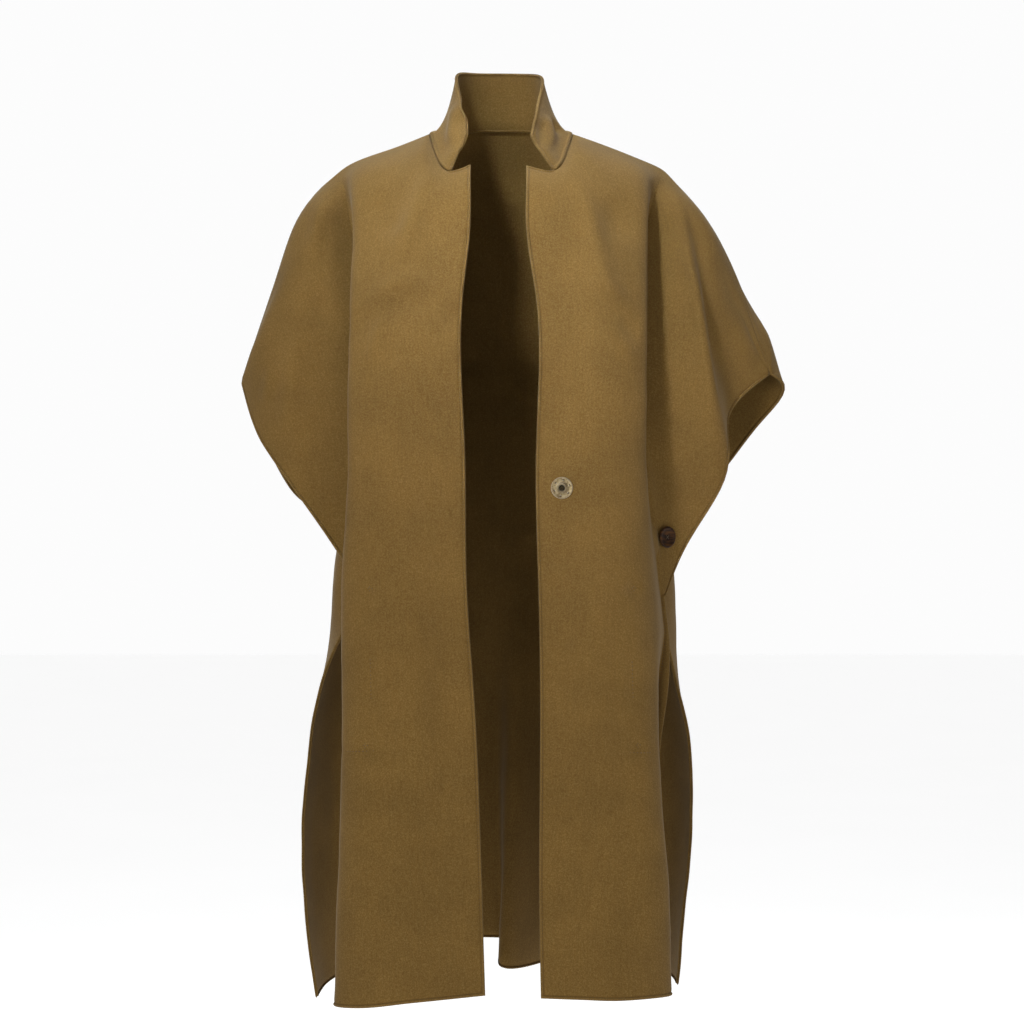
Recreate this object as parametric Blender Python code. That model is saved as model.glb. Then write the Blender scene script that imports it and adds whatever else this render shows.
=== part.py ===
"""High collar cape coat in double-faced wool, hanging open as it is worn, with no wearer in it.

Metres, +Z up. The wearer faces -Y, so the wearer's left is +X. The origin is in the middle of the neck
hole, level with the points where the shoulder seams meet the collar: the wearer's neck holds it there.

Each cloth panel is a grid of points. Down the panel run named lines, such as the front edge, the crest of
the big fold and the side edge. Each line is placed at a few named levels, and smooth curves through those
places, first across and then down, give every point of the cloth. The wall is the grid and a copy of it
one cloth thickness further in. A cape sleeve is cut in one with its panel: past the side line the panel
ends at the sleeve's hem, and its rows run together at the tip, where the overarm seam ends.
"""

from collections import namedtuple

import bmesh
import bpy
import numpy as np
from mathutils import Matrix, Vector
from mathutils.bvhtree import BVHTree

# Driving sizes
CLOTH = 0.0024          # double-faced wool
SEAM_GAP = 0.0003       # between neighbouring pieces
POCKETING = 0.0012      # cloth of the pocket bags
SNAP_RADIUS = 0.0120
BUTTON_RADIUS = 0.0122
SHANK_RADIUS = 0.0028
ROUND_STEPS = 20

# Heights of the levels where the panels are placed. The neckline, the overarm seams and the hems have
# heights of their own, which their tables give.
CHEST, BUST, WAIST, UNDERARM, HIP, POCKET_END, THIGH = -0.12, -0.20, -0.37, -0.525, -0.62, -0.70, -0.83
LEVELS = (CHEST, BUST, WAIST, UNDERARM, HIP, POCKET_END, THIGH)
HEM = -0.965

# How much of the way down a sleeve line, from the seam to the sleeve's hem, each of the first levels lies
SLEEVE_SHARES = (0.17, 0.34, 0.68)

# Halfway from the seam to the chest the cloth has turned over the shoulder this far out and this far down
SHOULDER_OUT, SHOULDER_DOWN = 0.66, 0.33

# Where the two lines under the collar run, as shares of the way from the front edge to the neck line
NOTCH_SHARE, THROAT_SHARE = 0.46, 0.76

# The lines of a front and of half a back, from the middle of the coat outwards, and how many strips of
# the grid lie between each line and the next
FRONT_LINES = ("edge", "notch", "throat", "neck", "slope", "crest", "side", "under", "ridge", "hollow", "tip")
FRONT_STRIPS = (2, 2, 2, 3, 3, 5, 3, 3, 3, 4)
BACK_LINES = ("spine", "nape", "yoke", "neck", "slope", "crest", "flank", "side", "under", "ridge",
              "hollow", "cap", "tip")
BACK_STRIPS = (4, 3, 3, 3, 3, 3, 2, 3, 3, 3, 2, 2)
SEAM_LINES = ("neck", "slope", "crest", "flank", "side", "under", "ridge", "hollow", "cap", "tip")
SEAM_STRIPS = BACK_STRIPS[3:]
FRONT_NECK, BACK_NECK = sum(FRONT_STRIPS[:3]), sum(BACK_STRIPS[:3])
LEVEL_STRIPS = (2, 2, 2, 4, 4, 3, 2, 4, 4)

FrontSection = namedtuple("FrontSection", "edge neck slope crest side under ridge hollow",
                          defaults=(None, None, None))
BackSection = namedtuple("BackSection", "spine nape yoke neck slope crest flank side under ridge hollow cap",
                         defaults=(None, None, None, None))

# The neckline, from the top corner of a front edge to the middle of the back
NECKLINE = {
    "left": {"edge": (0.0284, -0.0860, -0.0490), "notch": (0.0578, -0.0845, -0.0545),
             "throat": (0.0730, -0.0560, -0.0345), "neck": (0.0826, -0.0040, -0.0015),
             "yoke": (0.0740, 0.0340, 0.0060), "nape": (0.0440, 0.0620, 0.0105),
             "spine": (0.0, 0.0710, 0.0120)},
    "right": {"edge": (-0.0334, -0.0860, -0.0480), "notch": (-0.0552, -0.0845, -0.0550),
              "throat": (-0.0725, -0.0560, -0.0345), "neck": (-0.0826, -0.0040, -0.0015),
              "yoke": (-0.0740, 0.0340, 0.0060), "nape": (-0.0440, 0.0620, 0.0105),
              "spine": (0.0, 0.0710, 0.0120)},
}

# The overarm seam, from the neck line over the shoulder to the tip of the cape sleeve
SEAM = {
    "left": {"slope": (0.1250, -0.0060, -0.0170), "crest": (0.1640, -0.0060, -0.0325),
             "flank": (0.1760, -0.0062, -0.0375), "side": (0.1865, -0.0065, -0.0435),
             "under": (0.1985, -0.0070, -0.0555), "ridge": (0.2120, -0.0072, -0.0705),
             "hollow": (0.2600, -0.0105, -0.1425), "cap": (0.2860, -0.0105, -0.2120),
             "tip": (0.3090, -0.0100, -0.2775)},
    "right": {"slope": (-0.1250, -0.0060, -0.0185), "crest": (-0.1690, -0.0060, -0.0345),
              "flank": (-0.1775, -0.0060, -0.0390), "side": (-0.1850, -0.0060, -0.0445),
              "under": (-0.1950, -0.0060, -0.0530), "ridge": (-0.2060, -0.0060, -0.0630),
              "hollow": (-0.2490, -0.0060, -0.1430), "cap": (-0.2745, -0.0060, -0.2160),
              "tip": (-0.2985, -0.0060, -0.2870)},
}

# The fronts at the levels, each place as (x, y), or as (x, y, z) where it lies off its level
FRONT_SECTIONS = {
    "left": (
        FrontSection((0.0281, -0.118), (0.098, -0.110), (0.136, -0.098), (0.1640, -0.080),
                     (0.173, -0.050), (0.1930, -0.049), (0.2170, -0.050), (0.2560, -0.030)),
        FrontSection((0.0390, -0.125), (0.102, -0.124), (0.138, -0.116), (0.1622, -0.100),
                     (0.168, -0.064), (0.1920, -0.060), (0.2225, -0.062), (0.2560, -0.036)),
        FrontSection((0.0388, -0.128), (0.103, -0.132), (0.137, -0.126), (0.1600, -0.108),
                     (0.168, -0.066), (0.1960, -0.056), (0.2375, -0.066), (0.2560, -0.034)),
        FrontSection((0.0415, -0.130), (0.105, -0.137), (0.140, -0.131), (0.1630, -0.112),
                     (0.1862, -0.045, -0.532)),
        FrontSection((0.0429, -0.134), (0.108, -0.142), (0.144, -0.136), (0.1688, -0.115),
                     (0.1905, -0.048)),
        FrontSection((0.0431, -0.138), (0.111, -0.146), (0.148, -0.140), (0.1720, -0.117),
                     (0.1800, -0.052)),
        FrontSection((0.0420, -0.146), (0.115, -0.153), (0.154, -0.146), (0.1825, -0.121),
                     (0.1740, -0.064)),
    ),
    "right": (
        FrontSection((-0.0333, -0.118), (-0.099, -0.110), (-0.136, -0.098), (-0.1645, -0.082),
                     (-0.174, -0.052), (-0.1900, -0.052), (-0.2110, -0.050), (-0.2550, -0.030)),
        FrontSection((-0.0415, -0.125), (-0.104, -0.125), (-0.140, -0.117), (-0.1668, -0.101),
                     (-0.160, -0.066), (-0.1930, -0.062), (-0.2230, -0.058), (-0.2640, -0.038)),
        FrontSection((-0.0389, -0.128), (-0.105, -0.133), (-0.142, -0.127), (-0.1688, -0.108),
                     (-0.138, -0.069), (-0.1990, -0.056), (-0.2400, -0.058), (-0.2750, -0.038)),
        FrontSection((-0.0365, -0.130), (-0.105, -0.138), (-0.144, -0.132), (-0.1728, -0.112),
                     (-0.1520, -0.046, -0.532)),
        FrontSection((-0.0298, -0.134), (-0.104, -0.143), (-0.145, -0.137), (-0.1732, -0.116),
                     (-0.1650, -0.058)),
        FrontSection((-0.0252, -0.138), (-0.103, -0.147), (-0.145, -0.142), (-0.1735, -0.119),
                     (-0.1640, -0.058)),
        FrontSection((-0.0204, -0.146), (-0.102, -0.155), (-0.147, -0.150), (-0.1765, -0.126),
                     (-0.1640, -0.066)),
    ),
}

# The back at the levels in the same way, before its hanging folds
BACK_SECTIONS = {
    "left": (
        BackSection((0.0, 0.104), (0.044, 0.106), (0.075, 0.108), (0.098, 0.107), (0.132, 0.098),
                    (0.162, 0.078), (0.176, 0.052), (0.184, 0.036), (0.197, 0.038), (0.215, 0.046),
                    (0.262, 0.030), (0.305, 0.005)),
        BackSection((0.0, 0.112), (0.045, 0.116), (0.078, 0.119), (0.103, 0.118), (0.137, 0.110),
                    (0.165, 0.092), (0.176, 0.064), (0.184, 0.044), (0.200, 0.048), (0.225, 0.058),
                    (0.270, 0.042), (0.312, 0.012)),
        BackSection((0.0, 0.118), (0.046, 0.124), (0.080, 0.128), (0.106, 0.128), (0.140, 0.120),
                    (0.169, 0.100), (0.184, 0.056), (0.186, 0.010), (0.208, 0.026), (0.243, 0.053),
                    (0.286, 0.046), (0.320, 0.014)),
        BackSection((0.0, 0.128), (0.048, 0.136), (0.083, 0.141), (0.110, 0.140), (0.145, 0.130),
                    (0.176, 0.100), (0.198, -0.006, -0.505), (0.1700, -0.0490, -0.449)),
        BackSection((0.0, 0.134), (0.049, 0.143), (0.086, 0.150), (0.114, 0.148), (0.150, 0.137),
                    (0.181, 0.111), (0.205, 0.052), (0.1990, -0.010)),
        BackSection((0.0, 0.140), (0.050, 0.150), (0.088, 0.158), (0.118, 0.156), (0.154, 0.143),
                    (0.186, 0.115), (0.210, 0.064), (0.2165, 0.012)),
        BackSection((0.0, 0.152), (0.052, 0.163), (0.091, 0.171), (0.122, 0.169), (0.159, 0.154),
                    (0.191, 0.125), (0.212, 0.078), (0.2185, 0.028)),
    ),
    "right": (
        BackSection((0.0, 0.104), (-0.044, 0.106), (-0.075, 0.108), (-0.098, 0.107), (-0.132, 0.098),
                    (-0.162, 0.078), (-0.174, 0.052), (-0.182, 0.036), (-0.193, 0.038), (-0.210, 0.046),
                    (-0.256, 0.030), (-0.2785, 0.008)),
        BackSection((0.0, 0.112), (-0.045, 0.116), (-0.078, 0.119), (-0.103, 0.118), (-0.137, 0.110),
                    (-0.165, 0.092), (-0.175, 0.064), (-0.183, 0.044), (-0.197, 0.046), (-0.221, 0.052),
                    (-0.264, 0.036), (-0.2825, 0.014)),
        BackSection((0.0, 0.118), (-0.046, 0.124), (-0.080, 0.128), (-0.106, 0.128), (-0.140, 0.120),
                    (-0.168, 0.100), (-0.183, 0.056), (-0.185, 0.010), (-0.206, 0.022), (-0.236, 0.044),
                    (-0.274, 0.034), (-0.2880, 0.016)),
        BackSection((0.0, 0.128), (-0.048, 0.136), (-0.083, 0.141), (-0.110, 0.140), (-0.145, 0.130),
                    (-0.175, 0.098), (-0.189, -0.006, -0.505), (-0.1400, -0.0480, -0.450)),
        BackSection((0.0, 0.134), (-0.049, 0.143), (-0.086, 0.150), (-0.114, 0.148), (-0.151, 0.137),
                    (-0.182, 0.109), (-0.206, 0.052), (-0.2030, -0.008)),
        BackSection((0.0, 0.140), (-0.050, 0.150), (-0.088, 0.158), (-0.118, 0.156), (-0.155, 0.143),
                    (-0.188, 0.115), (-0.214, 0.064), (-0.2215, 0.014)),
        BackSection((0.0, 0.152), (-0.052, 0.163), (-0.091, 0.171), (-0.123, 0.169), (-0.162, 0.154),
                    (-0.198, 0.125), (-0.224, 0.078), (-0.2320, 0.028)),
    ),
}

# The hems, each place as (x, y, z). Up to the side line this is the coat's hem, and beyond it the sleeve's.
FRONT_HEM = {
    "left": {"edge": (0.0438, -0.155, -0.9640), "neck": (0.1170, -0.164, -0.9650),
             "slope": (0.1580, -0.154, -0.9650), "crest": (0.1885, -0.124, -0.9670),
             "side": (0.1680, -0.072, -0.9700), "under": (0.2165, -0.032, -0.4650),
             "ridge": (0.2578, -0.055, -0.3780), "hollow": (0.2600, -0.029, -0.3290)},
    "right": {"edge": (-0.0162, -0.155, -0.9610), "neck": (-0.1010, -0.166, -0.9675),
              "slope": (-0.1490, -0.158, -0.9740), "crest": (-0.1815, -0.134, -0.9770),
              "side": (-0.1620, -0.076, -0.9780), "under": (-0.2060, -0.048, -0.4500),
              "ridge": (-0.2480, -0.041, -0.3930), "hollow": (-0.2790, -0.026, -0.3450)},
}
BACK_HEM = {
    "left": {"spine": (0.0, 0.187, -0.9570), "nape": (0.0530, 0.183, -0.9800),
             "yoke": (0.0930, 0.185, -0.9770), "neck": (0.1240, 0.182, -0.9760),
             "slope": (0.1600, 0.166, -0.9790), "crest": (0.1880, 0.135, -0.9830),
             "flank": (0.2030, 0.085, -0.9850), "side": (0.2055, 0.030, -0.9850),
             "under": (0.2050, -0.027, -0.4270), "ridge": (0.2620, 0.040, -0.3840),
             "hollow": (0.3030, 0.034, -0.3310), "cap": (0.3272, 0.006, -0.2900)},
    "right": {"spine": (0.0, 0.187, -0.9570), "nape": (-0.0530, 0.185, -0.9590),
              "yoke": (-0.0930, 0.185, -0.9700), "neck": (-0.1250, 0.182, -0.9760),
              "slope": (-0.1640, 0.166, -0.9840), "crest": (-0.1950, 0.137, -0.9930),
              "flank": (-0.2130, 0.090, -1.0000), "side": (-0.2165, 0.045, -1.0030),
              "under": (-0.2030, -0.016, -0.4350), "ridge": (-0.2453, 0.030, -0.4080),
              "hollow": (-0.2770, 0.022, -0.3500), "cap": (-0.2900, 0.010, -0.3150)},
}

# The back's hanging folds: where each runs at the chest and at the hem, how wide each of its halves is at
# the hem, how far it stands out there (or in, where negative), the height where it has died out, and how
# far it leans over to the left for each metre that it stands out
Fold = namedtuple("Fold", "chest_x hem_x right_half left_half depth top lean")
BACK_FOLDS = (
    Fold(-0.146, -0.158, 0.036, 0.034, 0.016, -0.16, 0.0),
    Fold(-0.108, -0.112, 0.034, 0.034, -0.020, -0.20, 0.0),
    Fold(-0.062, -0.060, 0.040, 0.036, 0.018, -0.34, 0.0),
    Fold(0.014, 0.036, 0.037, 0.044, -0.095, -0.50, 0.35),
    Fold(0.064, 0.082, 0.036, 0.034, 0.017, -0.36, 0.0),
    Fold(0.112, 0.124, 0.034, 0.036, -0.022, -0.18, 0.0),
    Fold(0.150, 0.162, 0.034, 0.034, 0.014, -0.22, 0.0),
)
FOLD_GROWTH = 1.2        # the folds open a little faster than evenly, from their tops down

# The collar's top edge, from the right front corner round the back of the neck to the left front corner
COLLAR_TOP = (
    (-0.0390, -0.0660, -0.0100), (-0.0416, -0.0540, 0.0074), (-0.0452, -0.0380, 0.0244),
    (-0.0491, -0.0120, 0.0471), (-0.0510, 0.0220, 0.0725), (-0.0330, 0.0500, 0.0780),
    (0.0, 0.0590, 0.0790),
    (0.0320, 0.0500, 0.0770), (0.0480, 0.0220, 0.0690), (0.0446, -0.0160, 0.0401),
    (0.0397, -0.0460, 0.0126), (0.0339, -0.0660, -0.0125),
)
COLLAR_TOP_STRIPS = 6    # between each point of the top edge and the next, before it is spaced like the root
COLLAR_RISES = (0.0, 0.10, 0.26, 0.48, 0.74, 1.0)
NECKLINE_RISE = 1.0      # the walls that meet at the neckline face out and as much upwards
COLLAR_LEAN = 0.5        # the collar leans in quickly at its root round the neck
COLLAR_FRONT_REACH = 0.03  # and stands straight within this distance of its front edges

# The pocket bags lie between these lines and levels, in grid strips of the fronts
POCKET_STRIPS_PAST_SLOPE = 1
POCKET_STRIPS_FROM_SIDE = 1

# The snap's two halves and the side buttons are turned from these corners, as (radius, height) from the
# middle of the side that is sewn on
SOCKET_PROFILE = (
    (0, 0), (SNAP_RADIUS * 0.90, 0), (SNAP_RADIUS, 0.0006), (SNAP_RADIUS, 0.0012),
    (SNAP_RADIUS * 0.93, 0.0016), (0.0058, 0.0016), (0.0053, 0.0034), (0.0047, 0.0038),
    (0.0036, 0.0036), (0.0030, 0.0024), (0.0027, 0.0010), (0, 0.0010),
)
BALL_PROFILE = (
    (0, 0), (SNAP_RADIUS * 0.90, 0), (SNAP_RADIUS, 0.0006), (SNAP_RADIUS, 0.0012),
    (SNAP_RADIUS * 0.93, 0.0015), (0.0050, 0.0015), (0.0030, 0.0019), (0.0022, 0.0026),
    (0.0025, 0.0036), (0.0019, 0.0043), (0, 0.0045),
)
BUTTON_PROFILE = (
    (0, 0), (SHANK_RADIUS, 0), (SHANK_RADIUS * 0.9, 0.0020), (BUTTON_RADIUS * 0.75, 0.0024),
    (BUTTON_RADIUS * 0.95, 0.0034), (BUTTON_RADIUS, 0.0044), (BUTTON_RADIUS * 0.96, 0.0056),
    (BUTTON_RADIUS * 0.84, 0.0060), (BUTTON_RADIUS * 0.70, 0.0050), (0, 0.0046),
)

# Each sits where a straight line from outside the coat first meets its cloth
SNAP_HEIGHT, SIDE_BUTTON_HEIGHT = -0.4093, -0.4638
SOCKET_AIM = (0.0674, -1.0, SNAP_HEIGHT)
BALL_AIM = (-0.0664, 1.0, SNAP_HEIGHT)
BUTTON_AIMS = {
    "left": ((0.1850, -1.0, SIDE_BUTTON_HEIGHT), (0.0, 1.0, 0.0)),
    "right": ((-0.5600, -0.3470, SIDE_BUTTON_HEIGHT), (0.8, 0.6, 0.0)),
}

# Colours are linear RGB
OLIVE_WOOL = ("olive_wool", (0.205, 0.125, 0.040), 0.92, 0.0)
POCKET_COTTON = ("pocket_cotton", (0.150, 0.095, 0.035), 0.85, 0.0)
SNAP_METAL = ("snap_metal", (0.420, 0.330, 0.200), 0.38, 1.0)
DARK_HORN = ("dark_horn", (0.050, 0.026, 0.010), 0.35, 0.0)


def clear_scene():
    for obj in list(bpy.data.objects):
        bpy.data.objects.remove(obj)


def principled(finish):
    name, colour, roughness, metallic = finish
    material = bpy.data.materials.get(name)
    if material is None:
        material = bpy.data.materials.new(name)
        material.use_nodes = True
        shader = material.node_tree.nodes["Principled BSDF"]
        shader.inputs["Base Color"].default_value = (*colour, 1.0)
        shader.inputs["Roughness"].default_value = roughness
        shader.inputs["Metallic"].default_value = metallic
    return material


def smooth_curve(places, strips):
    """Points of the natural cubic curve through the places, with so many strips from each to the next."""
    places = np.asarray(places, float)
    chords = np.linalg.norm(np.diff(places, axis=0), axis=1)
    knots = np.concatenate([[0.0], np.cumsum(np.maximum(chords, 1e-6))])
    gaps = np.diff(knots)
    count = len(places)
    system = np.eye(count)
    bends = np.zeros((count, 3))
    for i in range(1, count - 1):
        system[i, i - 1:i + 2] = gaps[i - 1], 2 * (gaps[i - 1] + gaps[i]), gaps[i]
        bends[i] = 6 * ((places[i + 1] - places[i]) / gaps[i] - (places[i] - places[i - 1]) / gaps[i - 1])
    bends = np.linalg.solve(system, bends)
    points = [places[0]]
    for i, steps in enumerate(strips):
        for step in range(1, steps + 1):
            after = step / steps
            before = 1.0 - after
            bend = (before**3 - before) * bends[i] + (after**3 - after) * bends[i + 1]
            points.append(before * places[i] + after * places[i + 1] + gaps[i]**2 / 6 * bend)
    return np.array(points)


def between(start, end, share):
    return tuple(a + (b - a) * share for a, b in zip(start, end))


def sleeve_place(place, top, hem, share):
    """A sleeve line's place as (x, y, z): its height is a share of the way from the seam to the hem."""
    return (*place, top[2] + (hem[2] - top[2]) * share)


def level_places(lines, side, sections, hem):
    """The places of a panel's lines: a list of rows, from the seam down. Lower rows stop at the side."""
    top = {**NECKLINE[side], **SEAM[side]}
    last = lines.index("side") + 1
    tip = top["tip"]
    rows = [[top[line] for line in lines]]
    for number, (section, height) in enumerate(zip(sections, LEVELS)):
        places = {line: place for line, place in section._asdict().items() if place}
        if "notch" in lines:
            places["notch"] = between(places["edge"], places["neck"], NOTCH_SHARE)
            places["throat"] = between(places["edge"], places["neck"], THROAT_SHARE)
        row = [(*places[line], height)[:3] for line in lines[:last]]
        if number < len(SLEEVE_SHARES):
            row += [sleeve_place(places[line], top[line], hem[line], SLEEVE_SHARES[number])
                    for line in lines[last:-1]] + [tip]
        elif number == len(SLEEVE_SHARES):
            row += [hem[line] for line in lines[last:-1]] + [tip]
        rows.append(row)
    if "notch" in lines:
        hem = {**hem, "notch": between(hem["edge"], hem["neck"], NOTCH_SHARE),
               "throat": between(hem["edge"], hem["neck"], THROAT_SHARE)}
    rows.append([hem[line] for line in lines[:last]])
    shoulder = [(x0 + (x1 - x0) * 0.5, y0 + (y1 - y0) * SHOULDER_OUT, z0 + (z1 - z0) * SHOULDER_DOWN)
                for (x0, y0, z0), (x1, y1, z1) in zip(rows[0], rows[1])]
    rows.insert(1, shoulder)
    return rows


def top_curve(lines, strips, side):
    """The neckline and then the overarm seam, which the front and the back share."""
    neck = lines.index("neck")
    neckline = smooth_curve([NECKLINE[side][line] for line in lines[:neck + 1]], strips[:neck])
    seam_places = {**NECKLINE[side], **SEAM[side]}
    seam = smooth_curve([seam_places[line] for line in SEAM_LINES], SEAM_STRIPS)
    return np.concatenate([neckline, seam[1:]])


def panel_grid(lines, strips, rows, side):
    """A dict from (row, column) to a point. Sleeve columns end at the underarm row."""
    last = lines.index("side")
    split = len(SLEEVE_SHARES) + 2
    body_columns = sum(strips[:last])
    curves = [top_curve(lines, strips, side)]
    for number, row in enumerate(rows[1:], 1):
        if number < split:
            curves.append(smooth_curve(row, strips))
        elif number == split:
            body = smooth_curve(row[:last + 1], strips[:last])
            sleeve = smooth_curve(row[last:], strips[last:])
            curves.append(np.concatenate([body, sleeve[1:]]))
        else:
            curves.append(smooth_curve(row, strips[:last]))
    grid = {}
    for column in range(len(curves[0])):
        on_body = column <= body_columns
        reach = len(rows) if on_body else split + 1
        places = [curve[column] for curve in curves[:reach]]
        for row, point in enumerate(smooth_curve(places, LEVEL_STRIPS[:reach - 1])):
            grid[row, column] = point
    return grid


def hanging_folds(point):
    """The point of the back moved out and in by the folds that hang in it."""
    x, y, z = point
    for fold in BACK_FOLDS:
        fall = (CHEST - z) / (CHEST - HEM)
        growth = min(max((fold.top - z) / (fold.top - HEM), 0.0), 1.0)
        off = x - (fold.chest_x + (fold.hem_x - fold.chest_x) * fall)
        half = fold.left_half if off > 0 else fold.right_half
        if abs(off) < half:
            out = fold.depth * growth**FOLD_GROWTH * 0.5 * (1 + np.cos(np.pi * off / half))
            x += fold.lean * out
            y += out
    return np.array([x, y, z])


def whole_back(left, right):
    """Both halves of the back in one grid: columns count up from the spine to the left, down to the right."""
    grid = dict(left)
    grid.update({(row, -column): point for (row, column), point in right.items()})
    return {place: hanging_folds(point) for place, point in grid.items()}


def normals_of(grid, outward_sign):
    """Each grid point's outward direction, from its neighbours along the row and down the column."""
    directions = {}
    for (row, column), point in grid.items():
        across = grid.get((row, column + 1), point) - grid.get((row, column - 1), point)
        down = grid.get((row + 1, column), point) - grid.get((row - 1, column), point)
        normal = outward_sign * np.cross(across, down)
        length = np.linalg.norm(normal)
        directions[row, column] = normal / length if length > 1e-12 else None
    return directions


def seam_directions(grid, normals, neck_column):
    """Neighbours share the direction of the wall at a seam, so that their ends face each other squarely."""
    for row, column in [place for place in grid if place[0] == 0]:
        point = grid[row, column]
        outer = grid.get((0, column + np.sign(column)), point)
        inner = grid[0, column - np.sign(column)]
        if abs(column) > neck_column:
            normal = np.cross(outer - inner, (0.0, 1.0, 0.0))
        elif abs(column) == neck_column:
            normal = np.cross(outer - point, (0.0, 1.0, 0.0))
        else:
            normal = neckline_direction(point, grid[0, column + 1] - grid.get((0, column - 1), point))
        normals[row, column] = normal * np.sign(normal[2]) / np.linalg.norm(normal)


def neckline_direction(point, along):
    """Out from the middle of the neck and a little upwards, square to the neckline."""
    out = np.array([point[0], point[1], 0.0])
    out = out / np.linalg.norm(out) + np.array([0.0, 0.0, NECKLINE_RISE])
    along = along / np.linalg.norm(along)
    return out - along * np.dot(out, along)


def set_tip(grid, normals, column):
    """All rows of a sleeve end in one point, the tip, which takes its direction from the seam."""
    for row, _ in [place for place in grid if place[1] == column]:
        normals[row, column] = normals[0, column]


def layers(grid, normals, outer, inner):
    """The grid moved inwards by two depths, as the faces of a wall."""
    return ({place: point - normals[place] * outer for place, point in grid.items()},
            {place: point - normals[place] * inner for place, point in grid.items()})


def wall_mesh(name, outer, inner):
    """A closed wall between two layers of the same grid. Points that coincide become one."""
    mesh = bmesh.new()
    verts = {}
    found = {}
    for side, layer in (("outer", outer), ("inner", inner)):
        for place, point in layer.items():
            key = (side, *np.round(point, 6))
            if key not in found:
                found[key] = mesh.verts.new(point)
            verts[side, place] = found[key]
    rim = {}
    for row, column in outer:
        ring = [(row, column), (row, column + 1), (row + 1, column + 1), (row + 1, column)]
        if not all(place in outer for place in ring):
            continue
        for side in ("outer", "inner"):
            for half in (ring[:3], [ring[0], *ring[2:]]):
                corners = {verts[side, place] for place in half}
                if len(corners) == 3:
                    mesh.faces.new([verts[side, place] for place in half])
        for start, end in zip(ring, ring[1:] + ring[:1]):
            if verts["outer", start] is verts["outer", end]:
                continue
            if (end, start) in rim:
                del rim[end, start]
            else:
                rim[start, end] = True
    for start, end in rim:
        mesh.faces.new([verts["outer", end], verts["outer", start],
                        verts["inner", start], verts["inner", end]])
    bmesh.ops.recalc_face_normals(mesh, faces=mesh.faces)
    data = bpy.data.meshes.new(name)
    mesh.to_mesh(data)
    mesh.free()
    data.shade_smooth()
    data.set_sharp_from_angle(angle=np.radians(50))
    return data


def add_object(name, data, finish):
    obj = bpy.data.objects.new(name, data)
    bpy.context.scene.collection.objects.link(obj)
    data.materials.append(principled(finish))
    return obj


def pull_back_seam(grid, neck_column, towards):
    """Moves the seam row by half a seam gap, towards the rest of its own panel."""
    for row, column in grid:
        if row == 0 and abs(column) >= neck_column:
            grid[row, column] = grid[row, column] + np.array([0.0, towards * SEAM_GAP / 2, 0.0])


def make_front(side):
    """A front with the front half of its cape sleeve. Gives its grid and the grid's directions."""
    outward = -1.0 if side == "left" else 1.0
    rows = level_places(FRONT_LINES, side, FRONT_SECTIONS[side], FRONT_HEM[side])
    grid = panel_grid(FRONT_LINES, FRONT_STRIPS, rows, side)
    normals = normals_of(grid, outward)
    seam_directions(grid, normals, FRONT_NECK)
    pull_back_seam(grid, FRONT_NECK, -1.0)
    set_tip(grid, normals, sum(FRONT_STRIPS))
    outer, inner = layers(grid, normals, 0.0, CLOTH)
    add_object(f"front_{side}", wall_mesh(f"front_{side}", outer, inner), OLIVE_WOOL)
    return grid, normals


def make_back():
    """The back with the back halves of both cape sleeves. Gives its grid."""
    halves = {side: panel_grid(BACK_LINES, BACK_STRIPS,
                               level_places(BACK_LINES, side, BACK_SECTIONS[side], BACK_HEM[side]), side)
              for side in ("left", "right")}
    grid = whole_back(halves["left"], halves["right"])
    normals = normals_of(grid, 1.0)
    seam_directions(grid, normals, BACK_NECK)
    pull_back_seam(grid, BACK_NECK, 1.0)
    for column in (sum(BACK_STRIPS), -sum(BACK_STRIPS)):
        set_tip(grid, normals, column)
    outer, inner = layers(grid, normals, 0.0, CLOTH)
    add_object("back", wall_mesh("back", outer, inner), OLIVE_WOOL)
    return grid


def collar_root(fronts, back):
    """The neckline's points from the right notch round the back to the left notch."""
    notch = FRONT_STRIPS[0]
    right = [fronts["right"][0][0, column] for column in range(notch, FRONT_NECK)]
    behind = [back[0, column] for column in range(-BACK_NECK, BACK_NECK + 1)]
    left = [fronts["left"][0][0, column] for column in range(FRONT_NECK - 1, notch - 1, -1)]
    return np.array(right + behind + left)


def collar_grid(root):
    """The collar between its root and its top edge: its columns count round the neck, its rows downwards."""
    lift = np.array([0.0, 0.0, SEAM_GAP])
    root = root + lift
    along = np.concatenate([[0.0], np.cumsum(np.linalg.norm(np.diff(root, axis=0), axis=1))])
    top = smooth_curve(COLLAR_TOP, (COLLAR_TOP_STRIPS,) * (len(COLLAR_TOP) - 1))
    top_along = np.concatenate([[0.0], np.cumsum(np.linalg.norm(np.diff(top, axis=0), axis=1))])
    shares = along / along[-1]
    top = np.stack([np.interp(shares * top_along[-1], top_along, top[:, axis]) for axis in range(3)], axis=1)
    grid = {}
    for column, (low, high) in enumerate(zip(root, top)):
        from_front = min(along[column], along[-1] - along[column])
        lean = COLLAR_LEAN + (1 - COLLAR_LEAN) * np.exp(-(from_front / COLLAR_FRONT_REACH)**2)
        for row, rise in enumerate(reversed(COLLAR_RISES)):
            across = rise**lean
            grid[row, column] = np.array([low[0] + (high[0] - low[0]) * across,
                                          low[1] + (high[1] - low[1]) * across,
                                          low[2] + (high[2] - low[2]) * rise])
    return grid


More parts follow.
